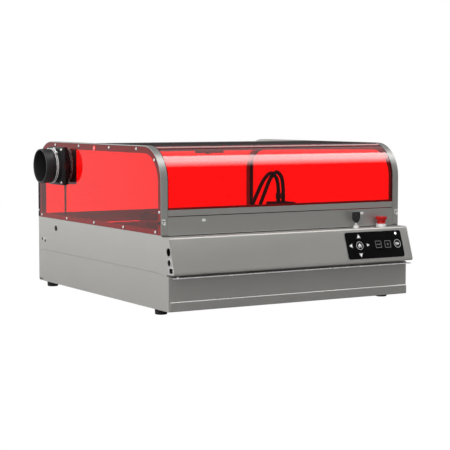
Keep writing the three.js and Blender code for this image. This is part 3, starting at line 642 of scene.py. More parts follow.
def rear_pane():
    start = CROSSBAR_BACK + GAP
    bottom = BASE_TOP + 0.2
    outline = [
        (start, HEIGHT - GAP), *rear_corner(GAP), (DEPTH - GAP, bottom),
        (DEPTH - ACRYLIC, bottom), *reversed(rear_corner(ACRYLIC)), (start, HEIGHT - ACRYLIC),
    ]
    squash = (REAR_TOP - bottom) / (HEIGHT - GAP - bottom)
    outline = [(y, bottom + (z - bottom) * squash) for y, z in outline]
    reach = ARCH_INNER - 0.4
    pane = prism(outline, -reach, reach)
    piece("pane_rear", pane, RED_SHEET, bevel=0.25, swaps=["rear_window"])


side_window(-1)
side_window(1)
lid_pane()
rear_pane()


# ---- Folded sheets with real bend radii ----
FACE = Matrix.Translation((0, *SLOPE_TOP)) @ Matrix.Rotation(math.pi / 2 - SLOPE, 4, "X")
CONSOLE_TOP, CONSOLE_UNDER, CONSOLE_LIP = 154.4, 84, 76


def on_slope(z):
    """Point (y, z) of the console's sloping face at a height."""
    return (SLOPE_TOP[0] + (z - SLOPE_TOP[1]) * math.tan(SLOPE), z)


CONSOLE_LINE = [(ARCH_FRONT - GAP, CONSOLE_TOP), on_slope(CONSOLE_TOP), on_slope(CONSOLE_UNDER),
                (4, CONSOLE_UNDER), (4, CONSOLE_LIP)]
CONSOLE_BENDS = (3.0, 3.2, 0.8)
PORTS = ((0.6, 127.4, 8), (-3.4, 107.2, 6.5))
FLAT_PORT = (-10.9, 92.4, 14, 10.4)


def console_shell():
    half = HALF - SHEET - GAP
    shell = prism(bent(CONSOLE_LINE, SHEET, CONSOLE_BENDS), -half, half)
    keypad = Shape().add(block(125, 262, -60.9, -7.4, -4, 2), FACE)
    holes = [moved(turned([(0, 150), (r, 150), (r, 160), (0, 160)], 40), *at)
             for at, r in ((ESTOP, ESTOP_BORE), (LOCK, LOCK_BORE))]
    piece("console_shell", shell, PAINT, bevel=0.3, swaps=["console_cover"], cuts=[keypad, *holes])


def side_shells():
    """Upper side sheets with the console's end cheeks in one; the left one has its socket openings."""
    seam, jog = 83.8, 80.6
    rounded_end = bent(CONSOLE_LINE[:4], SHEET, CONSOLE_BENDS)
    cheek = rounded_end[1:len(rounded_end) // 2 - 1]
    outline = [
        (DEPTH, jog), (DEPTH, BASE_TOP), (ARCH_FRONT, BASE_TOP), (ARCH_FRONT, CONSOLE_TOP), *cheek,
        (5, CONSOLE_UNDER), (8, jog), (33, jog), (36, seam), (DEPTH - 15, seam), (DEPTH - 12, jog),
    ]
    y, z, width, height = FLAT_PORT
    slot = rounded(y - width / 2, y + width / 2, z - height / 2, z + height / 2, 2)
    holes = [*(circle(*port, 40) for port in PORTS), slot]
    left = prism(outline, -HALF, -HALF + SHEET, "x", holes)
    piece("side_shell_left", left, PAINT, bevel=0.25, swaps=["side_panel_left", "side_ports"])
    piece("side_shell_right", prism(outline, HALF - SHEET, HALF), PAINT, bevel=0.25,
          swaps=["side_panel_right"])


def socket_inserts():
    """Round connector, barrel jack and flat port behind the cheek."""
    inserts, shine, wells = Shape(), Shape(), Shape()
    for (y, z, r), bore, depth, proud in zip(PORTS, (7.3, 4.2), (8.2, 8.8), (-1.2, 0.7)):
        cup = [(r - 0.1, -9.5), (r - 0.1, proud - 0.5), (r - 0.4, proud), (bore + 0.3, proud),
               (bore, proud - 0.4), (bore, -depth), (0, -depth), (0, -9.5)]
        well = turned(cup, 40)
        (wells if proud < 0 else inserts).add(well, outward(-1, y, z))
    y, z, r = PORTS[1]
    core = [(0, -1.6), (0.6, -1.7), (0.9, -2.2), (0.9, -9), (0, -9)]
    shine.add(turned(core, 20), outward(-1, y, z))
    rim = [(r + 0.1, -0.2), (r + 1.1, -0.2), (r + 1.1, 0.4), (r + 0.7, 0.7), (r + 0.1, 0.7)]
    shine.add(turned(rim, 40, ring=True), outward(-1, y, z))
    y, z, width, height = FLAT_PORT

    def frame_of(margin, radius):
        w, h = width / 2 - margin, height / 2 - margin
        return rounded(y - w, y + w, z - h, z + h, radius)

    inserts.add(prism(frame_of(0.1, 2), -HALF - 0.3, -HALF + 7.2, "x", [frame_of(1.5, 1.8)]))
    inserts.add(prism(frame_of(1.4, 1.8), -HALF + 7.0, -HALF + 7.4))
    inserts.add(block(-HALF + 1.2, -HALF + 7.1, y - 3.6, y + 3.6, z - 0.45, z + 0.45))
    shine.add(prism(frame_of(-1.5, 3.2), -HALF - 0.7, -HALF - 0.05, "x", [frame_of(0.1, 2)]))
    piece("socket_bodies", inserts, BLACK, bevel=0.15)
    # The well of the round connector is painted near-black: painted shade in its recess.
    piece("socket_well", wells, PAINTED_SHADE, bevel=0.15)
    piece("socket_rims", shine, NICKEL, bevel=0.08)


def front_shell():
    half = HALF - SHEET - GAP
    line = [(-18, 77.2), (0, 77.2), (0, 31.6)]
    panel = prism(bent(line, SHEET, (1.0,)), -half, half)
    # The lower front panel takes the darker copy of the paint: painted shade.
    piece("front_shell", panel, SHADED_PAINT, bevel=0.6, segments=4, swaps=["front_lower_panel"])
    # Hem along the flange's front edge: its shape is the sheet's edge, and its bright nickel colour,
    # lighter than the panel's paint, is a painted highlight.
    hem = [(-18.05, 77.0), (-17.2, 77.0), (-17.2, 79.3), *arc(-18.2, 78.5, 0.8, 90, 180, 5),
           *arc(-18.2, 77.8, 0.8, 180, 270, 5)]
    edge = prism(hem, -half, half)
    piece("front_edge_painted_highlight", edge, NICKEL, bevel=0.1)


def tray_shell():
    """Tray with a round-topped front lip."""
    half, back, low, high = 279, 600, 14.2, 29.5
    lip = [(-0.3, 12.4), (-0.3, 31), *arc(-1.5, 28.6, 2.4, 90, 180, 8), *arc(-3.1, 13.2, 0.8, 180, 270, 4)]
    whole = shape(
        prism(lip, -HALF + SHEET, HALF - SHEET),
        prism(bent([(-half, high), (-half, low), (half, low), (half, high)], SHEET, (1.2, 1.2)),
              -1.3, back, "y"),
        block(-half, half, back - SHEET, back, low, high))
    # The tray takes the darker copy of the paint: painted shade.
    piece("tray_shell", whole, SHADED_PAINT, "drawer", bevel=0.2, swaps=["drawer_tray"])
    # A thin glowing strip along the top of the lip: a painted highlight.
    bead = [(-1.6, 30.7), *arc(-2.2, 30.5, 1.0, 60, 200, 8), (-3.2, 29.6), (-1.6, 29.6)]
    piece("tray_lip_painted_highlight", prism(bead, -HALF + SHEET + 0.3, HALF - SHEET - 0.3), PAINTED_HIGHLIGHT,
          "drawer")


console_shell()
side_shells()
socket_inserts()
front_shell()
tray_shell()

# ---- Screws and small marks ----
def screw_head(radius, height, sink=0.4):
    """Pan head with a round socket recess."""
    socket = radius * 0.5
    profile = [
        (0, height * 0.35), (socket * 0.9, height * 0.4), (socket, height * 0.92),
        (socket * 1.25, height), (radius * 0.72, height * 0.95), (radius * 0.92, height * 0.72),
        (radius, height * 0.35), (radius, -sink), (0, -sink),
    ]
    return turned(profile, 18)


def screws(name, spots, direction, body, radius=2.6, height=1.5, material=ZINC):
    whole = Shape()
    for i, spot in enumerate(spots):
        whole.add(screw_head(radius, height), toward(spot, direction, spin=0.5 + i))
    return piece(name, whole, material, body)


WINDOW_SCREWS = [
    (132.4, 321.6), (255.1, 321.6), (402.2, 321.6), (524.7, 321.6), (56.6, 301.6), (36.6, 201.7),
    (52.9, 162.3), (191.6, 162.3), (329.2, 162.3), (467.1, 162.3), (603.2, 162.3),
]
plug = turned([(0, 1.1), (2.2, 1.0), (3.4, 0.3), (3.6, -0.4), (0, -0.4)], 24)
for side, name in ((-1, "left"), (1, "right")):
    spots = [(side * HALF, y, z) for y, z in WINDOW_SCREWS]
    screws(f"window_screws_{name}", spots, (side, 0, 0), "housing", 2.8, 1.3, NICKEL)
    if side < 0:
        piece("window_plug_left", Shape().add(plug, outward(side, 36.6, 180.5)), BLACK)

grommet = [(0, 1.0), (3.0, 1.3), (5.0, 1.2), (5.9, 0.7), (6.1, 0.1), (6.1, -0.4), (0, -0.6)]
piece("side_grommet", Shape().add(turned(grommet, 32), outward(-1, 526.6, 136.3)),
      RUBBER)
screws("side_fixing", [(-HALF, 592.6, 107.9)], (-1, 0, 0), "housing", 3.2, 1.4, NICKEL)
# Two dark discs of painted shade: the shade inside the keyhole, and the shadow cast by the fixing screw.
dots = Shape()
for y, z, r in ((602.2, 107.4, 2.9), (587.4, 104.0, 2.9)):
    dots.add(turned([(0, 0.25), (r * 0.8, 0.3), (r, 0.1), (r, -0.3), (0, -0.3)], 24),
             outward(-1, y, z))
piece("side_keyhole_painted_shade", dots, PAINTED_SHADE)
notch = prism(rounded(DEPTH - 20, DEPTH - 3, 14.6, 17.2, 1.2), -HALF - 0.35, -HALF + 0.2)
piece("rear_corner_mark", shape(notch), BLACK, bevel=0.15)
screws("flange_bolt", [(-270, -12, 78.7)], (0, 0, 1), "housing", 3.0, 1.8)
rear_edges = Shape()
for side in (-1, 1):
    line = [(DEPTH - 5, 158), (DEPTH - 0.3, 158), (DEPTH - 0.3, 246), (DEPTH - 5, 246)]
    ends = (HALF + 0.05, HALF + 0.6) if side > 0 else (-HALF - 0.6, -HALF - 0.05)
    rear_edges.add(prism(line, *ends))
piece("rear_edge_seals", rear_edges, RUBBER, bevel=0.2)
screws("rear_edge_screws", [(s * (HALF + 0.5), DEPTH - 3, 171.8) for s in (-1, 1)], (-1, 0, 0),
       "housing", 2.6, 0.9, NICKEL)

# Long strips: a dark strip of painted shade in the slit between the ledge and the plate, a light hem above
# it, and thin dark lines of painted shade along the top edges of the plate, the crossbar and the lid.
STRIPS = {
    "ledge_shade_strip": ("housing", LEDGE_SHADE, 0.1, HALF - 2, ARCH_FRONT - 0.9, ARCH_FRONT + 1.2,
                     CONSOLE_TOP + 0.05, PLATE_FOOT),
    "plate_hem": ("housing", PAINT, 0.15, PLATE_HALF, ARCH_FRONT - 0.6, ARCH_FRONT - 0.1,
                  PLATE_FOOT + 0.1, PLATE_FOOT + 1.2),
    "plate_top_shade_line": ("housing", PAINTED_SHADE, 0.2, PLATE_HALF, ARCH_FRONT + 0.1, ARCH_FRONT + 2.4,
                       PLATE_TOP, PLATE_TOP + 1.15),
    "crossbar_shade_line": ("housing", PAINTED_SHADE, 0.1, ARCH_INNER - 0.8, CROSSBAR_BACK - 15.5,
                      CROSSBAR_BACK - 0.4, HEIGHT - GAP + 0.02, HEIGHT - 0.03),
    "lid_top_shade_line": ("lid", PAINTED_SHADE, 0.1, LID_HALF - 0.6, LID_END + 0.8, LID_END + 9,
                     HEIGHT - 0.38, HEIGHT - 0.03),
}
for name, (body, finish, soft, reach, *sides) in STRIPS.items():
    piece(name, block(-reach, reach, *sides), finish, body, bevel=soft)

# Fixed plate: two white oval bumpers, and slotted lugs on the arch fronts.
OVAL_HALF_WIDTH, OVAL_HALF_HEIGHT, OVAL_SIDES = 4.7, 2.8, 32
DOME = [(1.0, -0.3), (1.0, 0.25), (0.93, 0.6), (0.74, 0.85), (0.4, 0.98)]
bumpers = Shape()
for x in (-190, 190):
    verts = [(OVAL_HALF_WIDTH * grow * u, OVAL_HALF_HEIGHT * grow * v, height)
             for grow, height in DOME for u, v in circle(0, 0, 1, OVAL_SIDES)]
    faces = [list(range(OVAL_SIDES))[::-1], list(range(len(verts) - OVAL_SIDES, len(verts)))]
    for low in range(0, len(verts) - OVAL_SIDES, OVAL_SIDES):
        for i in range(OVAL_SIDES):
            j = (i + 1) % OVAL_SIDES
            faces.append([low + i, low + j, low + OVAL_SIDES + j, low + OVAL_SIDES + i])
    bumpers.add((verts, faces), toward((x, ARCH_FRONT, 183.3), (0, -1, 0)))
piece("lid_bumpers", bumpers, WHITE_CAP)

# The lugs take the glowing near-white finish: a painted highlight.
lugs = Shape()
for side in (-1, 1):
    x = side * 279.2
    plane = (ARCH_FRONT - 0.5, ARCH_FRONT + 0.3)
    lugs.add(block(x - 3.8, x + 3.8, *plane, 186.0, 187.6))
    lugs.add(block(x - 3.8, x - 2.4, *plane, 180.4, 183.6))
    lugs.add(block(x + 2.0, x + 3.8, *plane, 176.6, 183.4))
    lugs.add(block(x - 1.4, x + 1.4, *plane, 178.2, 179.9))
piece("arch_lugs", lugs, PAINTED_HIGHLIGHT, bevel=0.15)


def hinge_pieces():
    """Long pin with small bolt ends inside red bushings that glow with painted light."""
    pin, rings, caps = Shape(), Shape(), Shape()
    pin.add(prism(circle(*HINGE, 3, 28), -HALF + 3.5, HALF - 3.5))
    for side in (-1, 1):
        end = outward(side, *HINGE, -3.6)
        pin.add(turned([(0, 3.1), (1.5, 3.1), (2.3, 2.7), (2.6, 2.0), (2.6, -0.2), (0, -0.2)], 28), end)
        face = outward(side, *HINGE)
        ring = turned([(1.4, 0.02), (5.8, 0.02), (5.8, 0.7), (5.4, 1.1), (1.4, 1.1)], 36, ring=True)
        rings.add(ring, face)
        caps.add(turned([(0, 1.4), (0.8, 1.3), (1.2, 0.9), (1.35, 0.1), (0, 0.1)], 28), face)
    piece("hinge_pin", pin, STEEL, bevel=0.1, swaps=["hinge_rod"])
    # The bushings glow with painted light.
    piece("hinge_bushings", rings, RED_PAINTED_GLOW)
    piece("hinge_caps", caps, NICKEL)


hinge_pieces()

# ---- Exhaust duct, clamp, fan ----
OUT = outward(-1, *DUCT)


def duct_pieces():
    y, z = DUCT
    body = Shape()
    square = rounded(y - 41.5, y + 41.5, z - 41.5, z + 41.5, 5)
    body.add(prism(square, -HALF - 0.3, -HALF - 5.2, "x", [circle(y, z, 34, 64)]))
    raised = rounded(y - 39.3, y + 39.3, z - 39.3, z + 39.3, 7)
    body.add(prism(raised, -HALF - 5.1, -HALF - 7.4, "x", [circle(y, z, 34, 64)]))
    pipe = [
        (36.4, 6.8), (36.4, 9.5), (37.3, 10.2), (37.3, 12.4), (36.7, 12.9), (36.7, 20.4),
        (37.3, 20.9), (37.5, 21.4), (37.5, 41.4), (37.2, 42.5), (36.5, 43.0), (35.4, 43.0),
        (34.6, 42.6), (34.2, 41.8), (34.0, 40.0), (34.0, 6.8),
    ]
    body.add(turned(pipe, 72, ring=True), OUT)
    piece("duct_body", body, BLACK, bevel=0.3, swaps=["exhaust_duct"])
    spots = [(-HALF - 7.3, y + a * 35.7, z + b * 35.7) for a in (-1, 1) for b in (-1, 1)]
    screws("duct_bolts", spots, (-1, 0, 0), "housing", 3.2, 2.6)


def clamp_pieces():
    whole = Shape()
    for x in (15.0, 18.2):
        band = [(37.75 + u, x + v) for u, v in circle(0, 0, 0.85, 12)]
        whole.add(turned(band, 72, ring=True), OUT)
    for turn in (118, 131):
        angle = math.radians(turn)
        away = Vector((0, math.cos(angle), math.sin(angle)))
        base = Vector((-HALF - 16.5, *DUCT)) + away * 37.6
        ear = prism(rounded(-2.4, 2.4, -0.2, 6.0, 2.0), -0.5, 0.5, "y")
        spin = Matrix((
            (1, 0, 0, base.x), (0, -away.z, away.y, base.y), (0, away.y, away.z, base.z),
            (0, 0, 0, 1)))
        whole.add(ear, spin)
    middle = math.radians(124.5)
    along = Vector((0, -math.sin(middle), math.cos(middle)))
    centre = Vector((-HALF - 16.5, *DUCT)) + Vector((0, math.cos(middle), math.sin(middle))) * 42
    bolt = turned([(0, -9), (1.3, -9), (1.3, 7), (2.9, 7), (2.9, 9.2), (2.2, 9.8), (0, 9.8)], 20)
    whole.add(bolt, toward(centre, along))
    nut = turned([(1.3, -7.6), (3.0, -7.6), (3.0, -5.2), (1.3, -5.2)], 6, ring=True)
    whole.add(nut, toward(centre, along))
    piece("clamp_band", whole, NICKEL, bevel=0.12, swaps=["hose_clamp"])


def fan_blades():
    """Seven curved, twisted blades on a domed hub."""
    middle = -269.4
    root, tip, count = 15.3, 35.6, 7
    whole = Shape()
    hub = [(0, -9), (14.6, -9), (15.6, -8.2), (16, -7), (16, 6), (15.4, 7.4), (13.6, 8), (0, 8)]
    inward = toward((middle, *DUCT), (1, 0, 0))
    whole.add(turned(hub, 40), inward)
    rows, across = 6, 8
    for blade in range(count):
        verts, faces = [], []
        for face in (-0.55, 0.55):
            for i in range(rows + 1):
                radius = root + (tip - root) * i / rows
                pitch = math.radians(52 - 22 * i / rows)
                for k in range(across + 1):
                    s = k / across - 0.5
                    chord = 15 + 5 * i / rows
                    camber = 2.2 * (1 - 4 * s * s)
                    run = s * chord * math.cos(pitch) + 2.2 * i / rows
                    lift = s * chord * math.sin(pitch) + camber * math.cos(pitch) - 1 + face
                    turn = run / radius + 2 * math.pi * blade / count
                    verts.append((radius * math.cos(turn), radius * math.sin(turn), lift))
        size = (rows + 1) * (across + 1)
        width = across + 1
        for i in range(rows):
            for k in range(across):
                a = i * width + k
                faces.append([a, a + 1, a + width + 1, a + width])
                faces.append([size + a, size + a + width, size + a + width + 1, size + a + 1])
        rim = list(range(width))
        rim += [i * width + across for i in range(1, rows + 1)]
        rim += [rows * width + k for k in range(across - 1, -1, -1)]
        rim += [i * width for i in range(rows - 1, 0, -1)]
        for a, b in zip(rim, rim[1:] + rim[:1]):
            faces.append([a, b, size + b, size + a])
        whole.add((verts, faces), inward)
    piece("fan_wheel", whole, BLACK, "fan", swaps=["fan_rotor"])


def fan_lead():
    """Sheathed fan lead along the CAD cable's route, with a boot at the fan and two wall clips."""
    x, drop, low = -276.5, DUCT[0] - 25.2, 105
    route = [
        (x, drop, DUCT[1] - 40.5), (x, drop, 200), (x, drop, 160), (x, drop, low + 20),
        (x, drop - 6, low + 6), (x, drop - 20, low), (x, drop - 60, low), (x, 360, low),
        (x, 250, low), (x, 150, low), (x, 70, low), (x, 24.5, low),
    ]
    whole = shape(tube(spline(route, 12), 2.0, 16))
    boot = [(2.0, 0), (2.9, 0), (3.0, -0.8), (3.0, -2.6), (2.6, -3.0), (2.6, -3.8), (2.9, -4.2),
            (2.7, -6.6), (2.3, -8.0), (2.0, -8.0)]
    whole.add(turned(boot, 24, ring=True), Matrix.Translation(route[0]))
    for y in (400, 210):
        whole.add(prism(arc(x, low, 2.9, -40, 220, 12) + arc(x, low, 2.1, 220, -40, 12), y, y + 7, "y"))
        whole.add(block(-282.9, x - 1.5, y, y + 7, low - 1.2, low + 1.2))
    piece("fan_wires", whole, RUBBER, swaps=["fan_cable"])


duct_pieces()
clamp_pieces()
fan_blades()
fan_lead()

# ---- Feet ----
for place, x, y in (("front_left", -267.2, 63.2), ("front_right", 267.2, 63.2),
                    ("rear_left", -267.2, 586), ("rear_right", 267.2, 586)):
    profile = [
        (0, 0.6), (5, 0.6), (5.4, 0), (10.4, 0), (11.6, 0.5), (12.1, 1.6), (12.3, 4.2), (12.0, 4.7),
        (12.0, 5.3), (12.4, 5.8), (12.5, 10.6), (12.2, 11.7), (0, 11.7),
    ]
    pad = moved(turned(profile, 48), x, y)
    piece(f"rubber_foot_{place}", pad, RUBBER, swaps=[f"foot_{place}"])


# ---- Hoses ----
BEAM_TOP, HEAD_TOP = 172, 205
HOSES = {"hose_air": (-12, 57.5, 266, 146.1), "hose_power": (13, 74.5, 267.5, 153.9)}
for name, (start, end, top, y) in HOSES.items():
    span = end - start
    low = BEAM_TOP + 10.6 + GAP
    route = [
        (start, y, low), (start, y, low + 5), (start + span * 0.25, y, low + 42),
        (start + span * 0.52, y, top - 10), (start + span * 0.74, y, top),
        (start + span * 0.92, y, top - 10), (end, y, top - 34), (end, y, HEAD_TOP + 12),
        (end, y, HEAD_TOP + 6 + GAP),
    ]
    line = spline(route, 14)
    whole = tube(line, 3.9, 18)
    loop = piece(f"{name}_loop", whole, HOSE, None, swaps=[name])
    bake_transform(loop)
    wide = 5.6 if name == "hose_air" else 4.4
    sleeve = [
        (3.95, 0), (wide - 0.2, 0), (wide, 1), (wide, 9), (wide - 0.3, 10), (wide - 0.3, 12),
        (4.2, 13), (4.2, 14.6), (4.1, 15.6), (3.95, 15.6),
    ]
    grip = moved(turned(sleeve, 28, ring=True), end, y, HEAD_TOP + 6 + GAP)
    piece(f"{name}_sleeve", grip, BLACK, "laser_head")


# ---- Belts and honeycomb bed ----
def toothed_belt(side):
    front, back, z = 60, 592, 138
    inner, thick, pitch = 6.6, 0.9, 4.0
    straight = back - front
    length = 2 * straight + 2 * math.pi * inner

    def at(run, offset):
        """Point on the loop, offset outwards."""
        run %= length
        radius = inner + offset
        if run < straight:
            return (front + run, z + radius)
        run -= straight
        if run < math.pi * inner:
            angle = math.pi / 2 - run / inner
            return (back + radius * math.cos(angle), z + radius * math.sin(angle))
        run -= math.pi * inner
        if run < straight:
            return (back - run, z - radius)
        angle = -math.pi / 2 - (run - straight) / inner
        return (front + radius * math.cos(angle), z + radius * math.sin(angle))

    teeth = round(length / pitch)
    inside, outside = [], []
    for i in range(teeth):
        run = length * i / teeth
        for share, offset in ((0, 0.0), (0.3, 0.35), (0.5, 0.35), (0.8, 0.0)):
            inside.append(at(run + share * pitch, offset))
        for share in (0, 0.5):
            outside.append(at(run + share * pitch, thick))
    name = "left" if side < 0 else "right"
    loop = prism(outside, side * 264, side * 270, "x", [inside])
    piece(f"toothed_belt_{name}", loop, RUBBER, swaps=[f"y_belt_{name}"])


def honeycomb_bed():
    """Open hexagonal cells in a rectangular frame."""
    half, front, back, bottom, top = 216, 40, 560, 16.1, 30.4
    whole = Shape()
    outer = rectangle(-half, half, front, back)
    inner = rectangle(-half + 6, half - 6, front + 6, back - 6)
    whole.add(prism(outer, bottom, top, "z", [inner]))
    cell, wall = 8.6, 0.45
    step_x, step_y = cell * math.sqrt(3), cell * 1.5
    columns = int((2 * half - 14) / step_x) - 1
    rows = int((back - front - 14) / step_y) - 1
    index, verts, faces = {}, [], []

    def vertex(x, y, z):
        key = (round(x, 2), round(y, 2), z)
        if key not in index:
            index[key] = len(verts)
            verts.append((x, y, z))
        return index[key]

    low, high = bottom + 2, top - 0.5
    start_x = -(columns - 1) * step_x / 2 - step_x / 4
    start_y = (front + back) / 2 - (rows - 1) * step_y / 2
    for j in range(rows):
        for i in range(columns):
            cx = start_x + i * step_x + (step_x / 2 if j % 2 else 0)
            cy = start_y + j * step_y
            corners = [(math.sin(math.radians(60 * k)), math.cos(math.radians(60 * k)))
                       for k in range(6)]
            ring = [(cx + cell * u, cy + cell * v) for u, v in corners]
            hole = [(cx + (cell - wall) * u, cy + (cell - wall) * v) for u, v in corners]
            for k in range(6):
                n = (k + 1) % 6
                a, b, c, d = ring[k], ring[n], hole[n], hole[k]
                up = [vertex(*p, high) for p in (a, b, c, d)]
                down = [vertex(*p, low) for p in (a, b, c, d)]
                faces.append(up)
                faces.append(down[::-1])
                faces.append([up[3], up[2], down[2], down[3]])
    edges = {}
    for face in faces:
        for a, b in zip(face, face[1:] + face[:1]):
            key = (min(a, b), max(a, b))
            edges.setdefault(key, []).append((a, b))
    lift = {i: index[(round(x, 2), round(y, 2), high if z == low else low)]
            for i, (x, y, z) in enumerate(verts)}
    for pairs in edges.values():
        if len(pairs) == 1 and verts[pairs[0][0]][2] == high:
            a, b = pairs[0]
            faces.append([b, a, lift[a], lift[b]])
    whole.add((verts, faces))
    piece("honeycomb_bed", whole, ALUMINIUM, "drawer", swaps=["work_bed"])


toothed_belt(-1)
toothed_belt(1)
honeycomb_bed()


# ---- Console: e-stop, key, printed symbols ----
def estop_head():
    def wave(turn, height):
        share = min(1, max(0, (height - 161.5) / 3)) * min(1, max(0, (175.4 - height) / 2.4))
        return 1 - 0.17 * share * (0.5 + 0.5 * math.cos(8 * turn)) ** 2

    profile = [
        (0, 138), (5, 138), (5, 160.9), (8.6, 160.9), (8.75, 161.6), (8.75, 164), (8.9, 166),
        (9.6, 168), (11.0, 169.9), (12.2, 171.3), (12.5, 172.6), (12.5, 174), (12.3, 175.2),
        (11.6, 176.1), (10.4, 176.45), (6.5, 176.5), (6.0, 176.15), (0, 176.2),
    ]
    whole = moved(turned(profile, 96, wave=wave), *ESTOP)
    piece("estop_cap", whole, RED_PLASTIC, "estop_button", swaps=["estop_head"])


def key_pieces():
    x, y = LOCK
    outline = [
        (-3.2, 165.2), (3.2, 165.2), (5.4, 168.2), (8.0, 171.8), (8.9, 174.2), (9.0, 176.5),
        (9.0, 185.4), (8.4, 186.9), (7.2, 187.4), (-7.2, 187.4), (-8.4, 186.9), (-9.0, 185.4),
        (-9.0, 176.5), (-8.9, 174.2), (-8.0, 171.8), (-5.4, 168.2),
    ]
    bow = moved(prism(outline, -2.2, 2.2, "y", [circle(0, 182.6, 2.0, 24)]), x, y)
    for face in (-1, 1):
        for k in range(4):
            z = 171.6 + 2.1 * k
            bow.add(block(x - 5, x + 5, y + face * 2.1, y + face * 2.45, z, z + 0.9))
    piece("key_bow", bow, BLACK, "key", bevel=0.6, segments=3, swaps=["safety_key"])
    blade = shape(
        block(x - 2.4, x + 2.4, y - 1, y + 1, 143.4, 166.5),
        block(x - 1.6, x + 1.6, y - 1.15, y + 1.15, 146, 165),
        block(x + 2.2, x + 2.8, y - 0.9, y + 0.9, 147, 148.6),
        block(x + 2.2, x + 2.8, y - 0.9, y + 0.9, 151, 152.6))
    piece("key_blade", blade, NICKEL, "key", bevel=0.12)
    for name, at, low, high, sides, top in (("lock_washer", LOCK, 5.5, 6.5, 40, 156.6),
                                            ("estop_ring", ESTOP, 9.6, 11.3, 48, 156.7)):
        ring = [(low, CONSOLE_TOP), (high, CONSOLE_TOP), (high, top), (high - 0.3, top + 0.4),
                (low, top + 0.4)]
        piece(name, moved(turned(ring, sides, ring=True), *at), NICKEL)


PRINT = (1.5, 1.56)
KEYS = {
    "pad_up": (155, -15), "pad_left": (132.6, -33.5), "pad_home": (154.2, -34),
    "pad_right": (175.5, -33.5), "pad_down": (153.4, -53.5), "pad_start": (250.7, -33.8),
    "pad_frame": (202, -33.5), "pad_laser": (225.8, -33.9),
}


def symbol(key, parts, material):
    """Thin printed solids on a key's face; parts are (outline, holes) about the key's centre."""
    x, y = KEYS[key]
    whole = Shape()
    for outline, holes in parts:
        solid = prism(outline, *PRINT, "z", holes)
        whole.add(solid, FACE @ Matrix.Translation((x, y, 0)))
    centre = FACE @ Vector((x, y, PRINT[1]))
    piece(f"{key}_symbol", whole, material, f"{key}_key", centre=tuple(centre))


def ring_outline(outer, inner):
    return (circle(0, 0, outer, 48), [circle(0, 0, inner, 48)])


def key_symbols():
    arrow = [(0, 5.7), (5.2, -4.0), (2.8, -3.2), (0, -2.9), (-2.8, -3.2), (-5.2, -4.0)]
    symbol("pad_up", [(arrow, [])], ARROW_GLOW)
    symbol("pad_left", [([(-v, u) for u, v in arrow], [])], ARROW_GLOW)
    symbol("pad_down", [([(-u, -v) for u, v in arrow], [])], ARROW_GLOW)
    small = [(-3.2, -3.3), (3.6, 0), (-3.2, 3.3)]
    symbol("pad_right", [(small, [])], WHITE_PRINT_GLOW)
    house = [
        (-5.0, -0.1), (0, 4.9), (5.0, -0.1), (3.5, -0.1), (3.5, -4.2), (1.3, -4.2), (1.3, -1.2),
        (-1.3, -1.2), (-1.3, -4.2), (-3.5, -4.2), (-3.5, -0.1),
    ]
    symbol("pad_home", [ring_outline(8.6, 7.9), (house, [])], WHITE_PRINT_GLOW)
    square = (rounded(-7.4, 7.4, -7.4, 7.4, 0.6), [rounded(-6.7, 6.7, -6.7, 6.7, 0.4)])
    dashes = [(rectangle(x, x + 1.6, -0.6, 0.8), []) for x in (-4.9, -2.4, 0.1, 2.6)]
    symbol("pad_frame", [square, *dashes], GREY_PRINT)
    beam = [(circle(0, -0.2, 1.4, 20), [])]
    for k in range(4):
        a = math.radians(45 + 90 * k)
        u, v = math.cos(a), math.sin(a)
        points = [(2.0, -0.25), (3.4, -0.25), (3.4, 0.25), (2.0, 0.25)]
        beam.append(([(p * u - q * v, p * v + q * u - 0.2) for p, q in points], []))
    symbol("pad_laser", [square, *beam], GREY_PRINT)
    play = [(0.4, -3.4), (5.2, 0), (0.4, 3.4)]
    bars = [(rectangle(-4.6, -3.2, -3, 3), []), (rectangle(-2.2, -0.8, -3, 3), [])]
    symbol("pad_start", [ring_outline(8.6, 7.9), (play, []), *bars], WHITE_PRINT_GLOW)


def status_lamp():
    lens = turned([(0, 2.1), (1.3, 2.0), (2.2, 1.7), (2.7, 1.3), (2.7, 1.2), (0, 1.2)], 32)
    whole = Shape().add(lens, FACE @ Matrix.Translation((250.7, -11.9, 0)))
    piece("status_lamp", whole, LAMP)


estop_head()
key_pieces()
key_symbols()
status_lamp()


# ---- Seals and trims ----
def lid_trims():
    """Black seal beads along the lid's side edges."""
    for side, name in ((-1, "left"), (1, "right")):
        x = side * (LID_HALF - 1.0)
        line = [Vector((x, y, z)) for y, z in (
            (ARCH_FRONT + LID_SKIN + 1.1, 210), *front_corner(LID_SKIN + 1.1),
            (LID_END - 14, HEIGHT - LID_SKIN - 1.1))]
        bead = tube(line, 1.0, 10)
        piece(f"lid_seal_{name}", bead, RUBBER, "lid")


lid_trims()

# ---- Stage, light and camera ----
FLOOR_REACH, FLOOR_SIDES = 3.2, 64
FLOOR_GREY = (0.33, 0.35)
# White of the floor to the eye, and how much of that view is glow and not lit surface.
FLOOR_WHITE, FLOOR_SHARE = 1.03, 0.97
# Light levels: what rough and what mirror-smooth surfaces meet on each side, and in the soft box.
LEFT_LEVEL, RIGHT_LEVEL, BOX_LEVEL = 1.34, 0.09, 3.0
LEFT_MIRROR, RIGHT_MIRROR, BOX_MIRROR = 0.65, 0.17, 9.5
# Where the left level gives way to the right one, and the soft box's four soft edges: two along X,
# and two as angles of rise from the front horizon.
SIDE_FALL = (-0.35, 0.30)
BOX_LEFT, BOX_RIGHT, BOX_LOW, BOX_HIGH = (0.05, 0.25), (0.75, 0.85), (47, 69), (86, 92)
# Pale ceiling and a bright strip behind it: level, then the angles where each fades in and out.
CEILING = ((0.85, (84, 90), (122, 128)), (1.5, (133, 138), (145, 150)))
